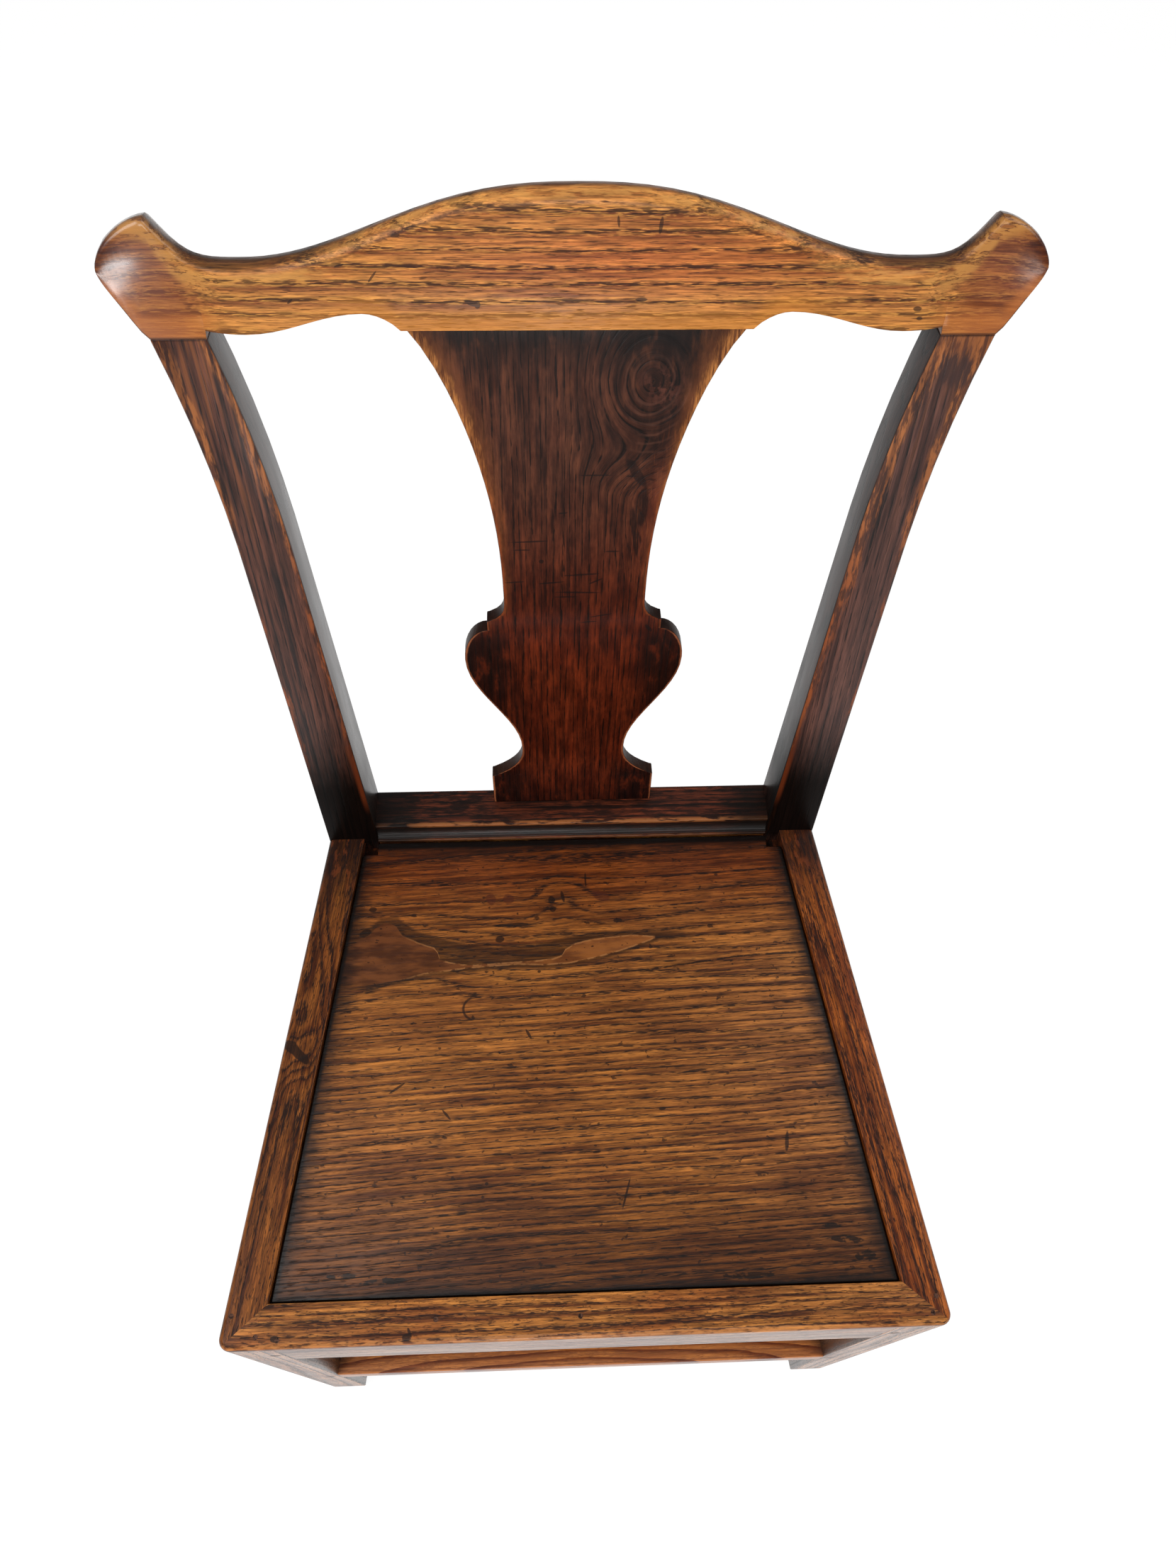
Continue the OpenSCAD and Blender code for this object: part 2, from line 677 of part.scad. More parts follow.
module right_seat_rail_solid() {
    difference() {
        union() {
            slab(rail_z, seat_h) polygon([[side_x(leg_w), leg_w], [side_x(seat_depth), seat_depth],
                [side_x(seat_depth) - leg_w, seat_depth], [side_x(leg_w) - leg_w, leg_w]]);
            slab(seat_h - lip_t, seat_h) side_lip_2d();
            side_rail_front_tenon();
            side_rail_rear_tenon();
        }
        seat_pocket();
        side_edge() rim_cut(seat_depth / cos(skew_a));
        rail_peg_set(peg_gap, 1);
    }
}

module left_seat_rail() {
    color("chocolate") place() difference() {
        mirror([1, 0, 0]) right_seat_rail_solid();
        nails(peg_gap, 1);
    }
}

module right_seat_rail() {
    color("chocolate") place() difference() {
        right_seat_rail_solid();
        nails(peg_gap, 1);
    }
}

module rear_seat_rail() {
    color("saddlebrown") place() difference() {
        union() {
            block([-post_in(seat_h), seat_depth, rail_z], [post_in(seat_h), shoe_rear, board_z]);
            both_sides() rear_rail_tenon();
        }
        both_sides() rail_peg_set(peg_gap, 1);
    }
}

// Front legs

module right_leg_solid() {
    difference() {
        slab(0, seat_h - lip_t) leg_2d();
        leg_corner_cut();
        seat_pocket();
        front_rail_tenon(cheek_gap, end_gap);
        side_rail_front_tenon(cheek_gap, end_gap);
        front_stretcher_tenon(cheek_gap, end_gap);
        side_stretcher_tenons(cheek_gap, end_gap);
        rail_peg_set(peg_gap, 1);
        small_peg_set(peg_gap, 1);
    }
}

module left_front_leg() {
    color("peru") place() difference() {
        mirror([1, 0, 0]) right_leg_solid();
        nails(peg_gap, 1);
    }
}

module right_front_leg() {
    color("peru") place() difference() {
        right_leg_solid();
        nails(peg_gap, 1);
    }
}

// Seat board

module seat_board() {
    g = board_gap;
    y0 = rim_w + g;
    y1 = shoe_front - board_to_shoe;
    x0 = side_x(y0) - rim_x - g;
    x1 = side_x(y1) - rim_x - g;
    xn = side_x(y1 - notch_d) - rim_x - g;
    xi = post_in(seat_h) + notch_gap;
    right = [[x0, y0], [xn, y1 - notch_d], [xi, y1 - notch_d], [xi, y1]];
    left = [for (k = [len(right) - 1 : -1 : 0]) [-right[k][0], right[k][1]]];
    color("sandybrown") place() slab(ledge_z, board_z) polygon(concat(right, left));
}

// Stretchers

module front_stretcher() {
    t = stretcher_t;
    x0 = side_x(0) - leg_w - glue_gap;
    x1 = side_x(t) - leg_w - glue_gap;
    color("sienna") place() difference() {
        union() {
            slab(stretcher_low, stretcher_z) polygon([[-x0, 0], [x0, 0], [x1, t], [-x1, t]]);
            both_sides() front_stretcher_tenon();
        }
        both_sides() small_peg_set(peg_gap, 1);
    }
}

module right_stretcher_solid() {
    a = stretcher_inset;
    b = stretcher_inset + stretcher_t;
    y1 = seat_depth + rear_kick;
    difference() {
        union() {
            intersection() {
                slab(stretcher_low, stretcher_z) polygon([[side_x(leg_w) - a, leg_w], [side_x(y1) - a, y1],
                    [side_x(y1) - b, y1], [side_x(leg_w) - b, leg_w]]);
                rotate([90, 0, 90]) linear_extrude(big) polygon([[0, 0], [post_face(0), 0],
                    [seat_depth, rail_z], [0, rail_z]]);
            }
            side_stretcher_tenons();
        }
        small_peg_set(peg_gap, 1);
    }
}

module left_stretcher() {
    color("sienna") place() mirror([1, 0, 0]) right_stretcher_solid();
}

module right_stretcher() {
    color("sienna") place() right_stretcher_solid();
}

module rear_stretcher() {
    y0 = post_face(stretcher_z) + rear_stretcher_in;
    x0 = post_in(stretcher_low) - glue_gap;
    x1 = post_in(stretcher_z) - glue_gap;
    color("sienna") place() difference() {
        union() {
            translate([0, y0 + stretcher_t, 0]) rotate([90, 0, 0]) linear_extrude(stretcher_t) polygon([
                [-x0, stretcher_low], [x0, stretcher_low], [x1, stretcher_z], [-x1, stretcher_z]]);
            both_sides() rear_stretcher_tenon();
        }
        both_sides() small_peg_set(peg_gap, 1);
    }
}

// Glue blocks and the bearer under the board

module front_block_solid() {
    w = front_block_w;
    g = glue_gap;
    x = side_x(leg_w) - leg_w - g;
    slab(ledge_z - front_block_h, ledge_z) polygon([[x, leg_w + g],
        [side_x(leg_w + w) - leg_w - g, leg_w + w], [x - w, leg_w + g]]);
}

module rear_block_solid() {
    w = rear_block_w;
    g = glue_gap;
    x = side_x(seat_depth) - leg_w - g;
    y = seat_depth - g;
    slab(rail_z + rear_block_lift, ledge_z - rear_block_drop)
        polygon([[x, y], [x - w, y], [side_x(y - w) - leg_w - g, y - w]]);
}

module front_left_block() {
    color("burlywood") place() mirror([1, 0, 0]) front_block_solid();
}

module front_right_block() {
    color("burlywood") place() front_block_solid();
}

module rear_left_block() {
    color("burlywood") place() mirror([1, 0, 0]) rear_block_solid();
}

module rear_right_block() {
    color("burlywood") place() rear_block_solid();
}

module seat_bearer() {
    w = post_in(seat_h) - bearer_d;
    color("burlywood") place()
        block([-w, seat_depth - bearer_d, ledge_z - bearer_h], [w, seat_depth, ledge_z]);
}

// Pegs and nails

module rail_pegs() {
    color("sienna") place() both_sides() rail_peg_set();
}

module stretcher_pegs() {
    color("sienna") place() both_sides() small_peg_set();
}

module rim_nails() {
    color("dimgray") place() nails();
}

crest_rail();
left_back_post();
right_back_post();
splat();
shoe();
rear_seat_rail();
front_seat_rail();
left_seat_rail();
right_seat_rail();
left_front_leg();
right_front_leg();
seat_board();
front_stretcher();
left_stretcher();
right_stretcher();
rear_stretcher();
front_left_block();
front_right_block();
rear_left_block();
rear_right_block();
seat_bearer();
rail_pegs();
stretcher_pegs();
rim_nails();
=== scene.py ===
"""Dresses the dining chair's parts in old waxed wood and sets up its plain studio.

Each part of the chair is copied from the frame and gets a finish, and the long arrises
of the plainer parts are worn round. Lengths are in metres in the scene, and in millimetres
inside the finishes, in the chair's own frame: X to the right, Y to the back, Z up.
"""
import json
import math

import bmesh
import bpy
from bpy.props import FloatProperty, FloatVectorProperty, IntProperty, PointerProperty
from mathutils import Matrix, Vector

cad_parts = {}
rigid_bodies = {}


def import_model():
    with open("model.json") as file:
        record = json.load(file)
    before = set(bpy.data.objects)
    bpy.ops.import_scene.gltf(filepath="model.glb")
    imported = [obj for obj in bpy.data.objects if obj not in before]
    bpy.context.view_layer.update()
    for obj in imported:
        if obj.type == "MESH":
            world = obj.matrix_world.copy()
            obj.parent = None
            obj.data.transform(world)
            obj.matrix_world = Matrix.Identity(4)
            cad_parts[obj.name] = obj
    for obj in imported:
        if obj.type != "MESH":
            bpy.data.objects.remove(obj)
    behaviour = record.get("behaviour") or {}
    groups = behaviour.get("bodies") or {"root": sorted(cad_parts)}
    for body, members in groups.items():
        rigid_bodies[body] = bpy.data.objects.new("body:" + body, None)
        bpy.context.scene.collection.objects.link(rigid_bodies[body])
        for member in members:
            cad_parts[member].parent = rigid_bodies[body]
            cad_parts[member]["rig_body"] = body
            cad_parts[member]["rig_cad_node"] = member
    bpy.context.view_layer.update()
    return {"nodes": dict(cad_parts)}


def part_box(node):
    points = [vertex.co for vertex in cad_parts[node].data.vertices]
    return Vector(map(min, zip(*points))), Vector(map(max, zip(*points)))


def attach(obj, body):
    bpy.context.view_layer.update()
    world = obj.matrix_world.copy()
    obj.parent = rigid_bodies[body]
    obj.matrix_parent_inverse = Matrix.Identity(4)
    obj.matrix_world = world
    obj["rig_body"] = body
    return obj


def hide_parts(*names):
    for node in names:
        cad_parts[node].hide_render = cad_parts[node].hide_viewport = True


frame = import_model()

bl_info = {
    "name": "Old Dining Chair",
    "version": (1, 0, 0),
    "blender": (4, 5, 0),
    "location": "View3D > Sidebar > Chair",
    "description": "Dresses a dining chair in old waxed wood, piece by piece, and sets its stage",
    "category": "Object",
}

MM = 0.001


def tone(red, green, blue):
    """A colour as a screen shows it, 0 to 255, in the linear values that a shader takes."""
    def linear(value):
        share = value / 255.0
        return share / 12.92 if share <= 0.04045 else ((share + 0.055) / 1.055) ** 2.4
    return (linear(red), linear(green), linear(blue))


def node_span(node):
    """Lowest and highest corner of a CAD node, in millimetres."""
    low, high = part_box(node)
    return low / MM, high / MM


board_low, board_high = node_span("seat_board")
shoe_low, shoe_high = node_span("shoe")

FRONT_Y = node_span("left_front_leg")[0].y    # front faces of the chair
SEAT_TOP = node_span("left_seat_rail")[1].z   # top of the rims
BACK_Y = FRONT_Y + 382.0              # front faces of the back posts, at seat height
SIDE_SKEW = math.atan2(48.0, 382.0)   # how far a side rail turns inwards, front to back
RAKE = math.radians(9.1)              # lean of the back
POST_LENGTH = 450.0                   # from the seat to the crest rail, along the rake


def outline(node, pick, test=lambda up, deep: True, key="x"):
    """Extreme value by place along a CAD node, as pairs in rising order, in the frame of the raked back."""
    item = frame["nodes"][node]
    found = {}
    for vertex in item.data.vertices:
        at = item.matrix_world @ vertex.co / MM
        dy, dz = at.y - BACK_Y, at.z - SEAT_TOP
        up = dy * math.sin(RAKE) + dz * math.cos(RAKE) - POST_LENGTH
        deep = dy * math.cos(RAKE) - dz * math.sin(RAKE)
        if not test(up, deep):
            continue
        place, value = (round(abs(at.x), 1), up) if key == "x" else (round(up, 1), abs(at.x))
        found[place] = pick(found.get(place, value), value)
    return sorted(found.items())


def colour_prop(name, text, shade):
    """A colour that a user can change."""
    return FloatVectorProperty(name=name, description=text, subtype="COLOR", size=3,
                               min=0.0, max=1.0, default=tone(*shade))


class ChairWoods(bpy.types.PropertyGroup):
    """Colours of the chair's woods."""
    crest_light: colour_prop("Crest light", "Pale bands of the crest rail's grain", (196, 130, 64))
    crest_dark: colour_prop("Crest dark", "Dark bands of the crest rail's grain", (122, 68, 34))
    crest_wear: colour_prop("Crest wear", "Rubbed golden edge of the crest rail", (200, 142, 74))
    ear_red: colour_prop("Ear red", "Red brown of the crest rail's ears", (116, 56, 34))
    splat_light: colour_prop("Splat light", "Pale bands of the splat's lower half", (106, 39, 16))
    splat_dark: colour_prop("Splat dark", "Dark bands of the splat's lower half", (60, 21, 9))
    post_light: colour_prop("Post light", "Pale bands of the left post's grain", (98, 58, 45))
    post_dark: colour_prop("Post dark", "Dark bands of the left post's grain", (36, 23, 21))
    shoe_light: colour_prop("Shoe light", "Pale bands of the shoe's grain", (104, 46, 24))
    shoe_dark: colour_prop("Shoe dark", "Dark bands of the shoe's grain", (34, 15, 9))
    board_light: colour_prop("Board light", "Pale bands of the seat board's grain", (168, 104, 44))
    board_dark: colour_prop("Board dark", "Dark bands of the seat board's grain", (94, 50, 20))
    board_pore: colour_prop("Board pores", "Open pores and grime on the seat board", (30, 15, 8))
    rail_light: colour_prop("Rail light", "Pale bands of the seat rails' grain", (178, 114, 52))
    rail_dark: colour_prop("Rail dark", "Dark bands of the seat rails' grain", (94, 50, 24))
    bare_light: colour_prop("Bare light", "Pale bands of the bare wood under the seat", (168, 132, 92))
    bare_dark: colour_prop("Bare dark", "Dark bands of the bare wood under the seat", (112, 80, 52))


class ChairWear(bpy.types.PropertyGroup):
    """Sizes of the chair's wear."""
    arris: FloatProperty(name="Arris round", description="Radius of the back posts' worn edges",
                         default=1.3 * MM, min=0.0, max=3 * MM, unit="LENGTH", subtype="DISTANCE")
    segments: IntProperty(name="Arris steps", description="Faces across each rounded edge",
                          default=3, min=1, max=6)


class ChairStage(bpy.types.PropertyGroup):
    """The plain studio round the chair."""
    floor_size: FloatProperty(name="Floor size", description="Side of the white floor",
                              default=14.0, min=4.0, max=40.0, unit="LENGTH", subtype="DISTANCE")
    daylight: FloatProperty(name="Daylight", description="Level of the even white light from all round",
                            default=0.50, min=0.0, max=1.5)
    mirrored: FloatProperty(name="Mirrored daylight", default=0.25, min=0.0, max=1.5,
                            description="Level of the surroundings in the wood's gloss")
    key_watts: FloatProperty(name="Main lamp", description="Power of the large soft lamp", default=26.0,
                             min=0.0, max=200.0, unit="POWER")
    front_watts: FloatProperty(name="Front lamp", description="Power of the lamp over the chair's front",
                               default=14.0, min=0.0, max=200.0, unit="POWER")
    window_watts: FloatProperty(name="Window", default=4.5, min=0.0, max=50.0, unit="POWER",
                                description="Power of the small window that shows in the left ear's polish")
    lens: FloatProperty(name="Lens", description="Focal length of the camera on a 36 mm frame",
                        default=27.03, min=10.0, max=120.0, subtype="DISTANCE_CAMERA")


# Shapes

FLAT_TURN = math.radians(0.3)    # faces that turn less than this are joined
SHARP_TURN = math.radians(28)    # edges that turn more than this can be worn


def only(piece):
    """Selects one piece alone and makes it active."""
    bpy.ops.object.select_all(action="DESELECT")
    piece.select_set(True)
    bpy.context.view_layer.objects.active = piece


def copy_of(node):
    """A loose copy of a CAD node, its triangles joined into whole faces."""
    only(frame["nodes"][node])
    bpy.ops.object.duplicate()
    piece = bpy.context.active_object
    bpy.ops.object.parent_clear(type="CLEAR_KEEP_TRANSFORM")
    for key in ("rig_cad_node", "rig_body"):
        del piece[key]
    piece.name = piece.data.name = "worn_" + node
    bpy.ops.object.mode_set(mode="EDIT")
    bpy.ops.mesh.select_all(action="SELECT")
    bpy.ops.mesh.customdata_custom_splitnormals_clear()
    bpy.ops.mesh.remove_doubles(threshold=2e-6)
    bpy.ops.mesh.dissolve_limited(angle_limit=FLAT_TURN)
    bpy.ops.object.mode_set(mode="OBJECT")
    return piece


def wear_edges(piece, radius, steps, least):
    """Rounds the sharp outer edges that are at least so many millimetres long."""
    shape = bmesh.new()
    shape.from_mesh(piece.data)
    layers, name = shape.edges.layers.float, "bevel_weight_edge"
    layer = layers.get(name) or layers.new(name)
    marked = 0
    for edge in shape.edges:
        turn = edge.calc_face_angle_signed(0.0) if edge.is_manifold else 0.0
        a, b = (vertex.co / MM for vertex in edge.verts)
        worn = turn > SHARP_TURN and (a - b).length >= least
        edge[layer] = float(worn)
        marked += worn
    shape.to_mesh(piece.data)
    shape.free()
    if marked:
        only(piece)
        bevel = piece.modifiers.new("worn arrises", "BEVEL")
        bevel.limit_method = "WEIGHT"
        bevel.width = radius
        bevel.segments = steps
        bevel.use_clamp_overlap = False
        bevel.harden_normals = False
        bpy.ops.object.modifier_apply(modifier=bevel.name)


def settle(piece, node, body, finish, smooth_angle):
    """Shades a finished piece, gives it its wood and ties it to the frame."""
    only(piece)
    bpy.ops.object.shade_smooth_by_angle(angle=math.radians(smooth_angle))
    piece.data.materials.clear()
    piece.data.materials.append(finish)
    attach(piece, body)
    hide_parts(node)


# Finishes

def sign(operation, swapped=False):
    """An arithmetic method that adds a math node."""
    def grow(one, other=None):
        return one.finish.math(operation, *((other, one) if swapped else (one, other)))
    return grow


class Value:
    """A node's output that takes plain arithmetic and grows the nodes for it."""

    def __init__(self, finish, socket):
        self.finish, self.socket = finish, socket

    __add__, __radd__ = sign("ADD"), sign("ADD", True)
    __sub__, __rsub__ = sign("SUBTRACT"), sign("SUBTRACT", True)
    __mul__, __rmul__ = sign("MULTIPLY"), sign("MULTIPLY", True)
    __truediv__, __abs__ = sign("DIVIDE"), sign("ABSOLUTE")


class Finish:
    """One material under construction, or the world, with the colour, height and pores so far."""

    def __init__(self, name, world=False):
        self.block = (bpy.data.worlds if world else bpy.data.materials).new(name)
        self.block.use_nodes = True
        self.tree = self.block.node_tree
        self.tree.nodes.clear()
        self.point = self.colour = self.height = self.pores = None

    def add(self, kind, settings=None, inputs=None, output=0):
        """Adds a node and gives back one of its outputs, as all the methods below do."""
        node = self.tree.nodes.new(kind)
        for key, value in (settings or {}).items():
            setattr(node, key, value)
        for key, value in (inputs or {}).items():
            self.plug(node.inputs[key], value)
        return Value(self, node.outputs[output])

    def plug(self, socket, value):
        """Feeds an input from another node's output, or sets it to a constant."""
        if isinstance(value, Value):
            self.tree.links.new(value.socket, socket)
        elif value is not None:
            if socket.type == "RGBA" and len(value) == 3:
                value = (*value, 1.0)
            socket.default_value = value

    def math(self, operation, a, b=None):
        return self.add("ShaderNodeMath", {"operation": operation}, {0: a, 1: b})

    def most(self, a, b):
        return self.math("MAXIMUM", a, b)

    def least(self, a, b):
        return self.math("MINIMUM", a, b)

    def xyz(self, x, y, z):
        return self.add("ShaderNodeCombineXYZ", None, {0: x, 1: y, 2: z})

    def split(self, vector):
        node = self.tree.nodes.new("ShaderNodeSeparateXYZ")
        self.plug(node.inputs[0], vector)
        return [Value(self, socket) for socket in node.outputs]

    def length(self, x, y):
        """Distance of (x, y) from the origin."""
        return self.add("ShaderNodeVectorMath", {"operation": "LENGTH"}, {0: self.xyz(x, y, 0.0)}, 1)

    def rise(self, value, low, high, start=0.0, end=1.0, kind="SMOOTHSTEP"):
        """Start below low, end above high, and a smooth run between them."""
        return self.add("ShaderNodeMapRange", {"interpolation_type": kind, "clamp": True},
                        {"Value": value, "From Min": low, "From Max": high, "To Min": start, "To Max": end})

    def fall(self, value, low, high):
        """1 below low, 0 above high, and a smooth fall between them."""
        return self.rise(value, low, high, 1.0, 0.0)

    def slope(self, value, low, high, start=0.0, end=1.0):
        """Start below low, end above high, and a straight run between them."""
        return self.rise(value, low, high, start, end, "LINEAR")

    def blend(self, share, start, end):
        """Start where the share is 0, end where it is 1."""
        return self.slope(share, 0.0, 1.0, start, end)

    def band(self, value, centre, half, soft):
        """1 within half of centre, 0 beyond half + soft."""
        return self.fall(abs(value - centre), half, half + soft)

    def mix(self, share, a, b, blend="MIX"):
        node = self.tree.nodes.new("ShaderNodeMix")
        node.data_type, node.blend_type = "RGBA", blend
        for number, value in ((0, share), (6, a), (7, b)):
            self.plug(node.inputs[number], value)
        return Value(self, node.outputs[2])

    def cover(self, where, colour, share=1.0, blend="MIX"):
        """Lays another colour over the wood, as far as the mask says and up to the given share."""
        where = where if share == 1.0 else where * share
        self.colour = self.mix(where, self.colour, colour, blend)

    def stain(self, where, shade, share=1.0):
        """Covers the wood with a plain screen colour."""
        self.cover(where, tone(*shade), share)

    def dim(self, where, tint, share=1.0):
        """Dims the wood with a tint, which keeps its grain."""
        self.cover(where, tone(*tint), share, "MULTIPLY")

    def noise(self, vector, lengths, shift, detail=3.0, rough=0.6, output=0):
        """Soft random spots of the given lengths."""
        place = self.add("ShaderNodeMapping", {"vector_type": "POINT"},
                         {"Vector": vector, "Location": (shift, shift * 0.37, shift * 0.71),
                          "Scale": [1.0 / length for length in lengths]})
        return self.add("ShaderNodeTexNoise", None,
                        {"Vector": place, "Scale": 1.0, "Detail": detail, "Roughness": rough}, output)

    def mm(self):
        """The surface point in millimetres."""
        if self.point is None:
            place = self.add("ShaderNodeTexCoord", output="Object")
            self.point = self.add("ShaderNodeVectorMath", {"operation": "SCALE"},
                                  {0: place, "Scale": 1.0 / MM})
        return self.point

    def facing(self):
        """The direction in which the surface faces, as x, y and z."""
        return self.split(self.add("ShaderNodeNewGeometry", output="Normal"))

    def curve(self, value, points):
        """A line through the points, given as (value, result) pairs in rising order."""
        first, last = points[0][0], points[-1][0]
        least, most = min(p[1] for p in points), max(p[1] for p in points)
        node = self.tree.nodes.new("ShaderNodeFloatCurve")
        line = node.mapping.curves[0]
        spots = [((p - first) / (last - first), (q - least) / (most - least)) for p, q in points]
        line.points[0].location = spots[0]
        line.points[-1].location = spots[-1]
        for spot in spots[1:-1]:
            line.points.new(*spot)
        for point in line.points:
            point.handle_type = "VECTOR"
        node.mapping.update()
        self.plug(node.inputs["Value"], self.slope(value, first, last))
        return Value(self, node.outputs[0]) * (most - least) + least

    def hump(self, a, b, a0, b0, ra, rb, turn=0.0):
        """A smooth hill of height 1 round a point, ra and rb wide along its own two axes."""
        da, db = a - a0, b - b0
        if turn:
            c, k = math.cos(turn), math.sin(turn)
            da, db = da * c + db * k, db * c - da * k
        da, db = da * (1.0 / ra), db * (1.0 / rb)
        return self.math("EXPONENT", (da * da + db * db) * -1.0)

    def marks(self, a, b, spots, ragged=None):
        """1 inside small marks, each given as (a, b, half size along a, half size along b, turn)."""
        made = None
        for spot in spots:
            hill = self.hump(a, b, *spot)
            made = hill if made is None else self.most(made, hill)
        if ragged is not None:
            made = made + (ragged - 0.5) * 0.6
        return self.rise(made, 0.28, 0.5)

    def wood(self, along, across, deep, ring, heart, seed, light, dark, pore, flake=None, bend=14.0,
             fray=1.0, dash=9.0, line=1.0, loose=0.5, fibre=0.35, bands=0.5, uneven=1.2, knots=()):
        """Grain of open-pored wood: sets the colour, the height of the surface and the pores.

        The rings are `ring` mm wide round a heart at (across, deep). Pores are `dash` mm long, sit on
        the rings' lines of width `line`, and elsewhere as often as `loose` says.
        """
        place = self.xyz(along, across, deep)
        slow = self.noise(place, (240, 70, 70), seed + 3.1, 1.0, 0.5, output=1)
        quick = self.noise(place, (22, 5, 5), seed + 9.7, 2.0)
        dx, dy, _ = self.split(slow)
        a = across + ((dx - 0.5) * bend + (quick - 0.5) * (fray * 2.0))
        d = deep + (dy - 0.5) * bend
        sway = self.noise(place, (600, ring * 2.2, ring * 2.2), seed + 4.4, 1.0, 0.5)
        count = self.length(a - heart[0], d - heart[1]) * (1.0 / ring) + sway * uneven
        for hill, height in knots:
            count = count + hill * height
        saw = self.math("FRACT", count)
        off = self.least(saw, 1.0 - saw) * ring
        pits = self.noise(place, (dash, 0.8, 0.8), seed + 1.3, 1.5)
        fibres = self.noise(place, (20, 1.1, 1.1), seed + 5.9, 3.0, 0.75)
        stripes = self.noise(place, (70, 2.6, 2.6), seed + 7.7)
        late = self.rise(saw, 0.05, 1.0)
        share = 0.5 - 0.5 * bands + late * bands + (stripes - 0.5) * 3.2
        body = self.mix(share, light, dark)
        if flake is not None:
            chips = self.noise(place, (8, 1.0, 1.0), seed + 2.2, 2.0)
            chips = self.fall(off, 0.8, 3.0) * self.rise(chips, 0.46, 0.56)
            body = self.mix(chips * 0.65, body, flake)
        grey = self.slope(fibres, 0.34, 0.66, 1.0 - fibre, 1.0 + fibre)
        body = self.mix(1.0, body, self.xyz(grey, grey, grey), "MULTIPLY")
        zone = self.fall(off, line * 0.5, line * 1.8)
        lines = zone * self.rise(pits, 0.42, 0.54)
        pores = self.most(lines * 0.92, self.rise(pits, 0.58, 0.68) * loose)
        self.pores = self.most(pores, zone * 0.16)
        self.colour = self.mix(self.pores, body, pore)
        self.height = fibres * 0.5 - self.pores

    def done(self, rough, height=None, level=0.25, metal=0.0, coat=0.0, coat_rough=0.15, bump=0.35,
             depth=0.25 * MM):
        """Ends the finish with its shader and gives back the material."""
        normal = self.add("ShaderNodeBump", None,
                          {"Strength": bump, "Distance": depth, "Height": height or self.height})
        return self.show(self.add("ShaderNodeBsdfPrincipled", None, {
            "Base Color": self.colour, "Roughness": rough, "Specular IOR Level": level, "Metallic": metal,
            "Coat Weight": coat, "Coat Roughness": coat_rough, "Normal": normal}))

    def ray(self, kind):
        """1 where the light is traced by such a ray."""
        return self.add("ShaderNodeLightPath", output=f"Is {kind} Ray")

    def show(self, shader, kind="Material"):
        """Ends the finish with a shader and gives back the material or world."""
        out = self.tree.nodes.new("ShaderNodeOutput" + kind)
        self.plug(out.inputs["Surface"], shader)
        return self.block


def back_place(f):
    """The surface point in the frame of the raked back: x, height above the posts' tops, depth."""
    x, y, z = f.split(f.mm())
    dy, dz = y - BACK_Y, z - SEAT_TOP
    c, k = math.cos(RAKE), math.sin(RAKE)
    up = dy * k + dz * c - POST_LENGTH
    return x, up, dy * c - dz * k


# Nicks in the crest rail, as (x, height, half size in x, half size in height, turn).
CREST_NICKS = ((-55.7, 19.4, 4.2, 1.5, -0.35), (-53, 18.6, 1.6, 2.6, 0.0), (19.7, 62, 0.7, 3.2, 0.1),
               (41, 60, 1.0, 4.6, -0.1), (181, 15.2, 2.4, 1.5, 0.0), (183.3, 9.7, 1.6, 1.1, 0.0),
               (-106, 34, 3.6, 0.6, 0.9), (-150, 21, 2.0, 0.7, 0.7), (-122, 40, 3.0, 0.6, 0.3),
               (33, 21, 3.0, 1.2, 0.0), (118, 62, 2.0, 1.0, 0.3), (-92, 55, 2.4, 0.9, 0.2))


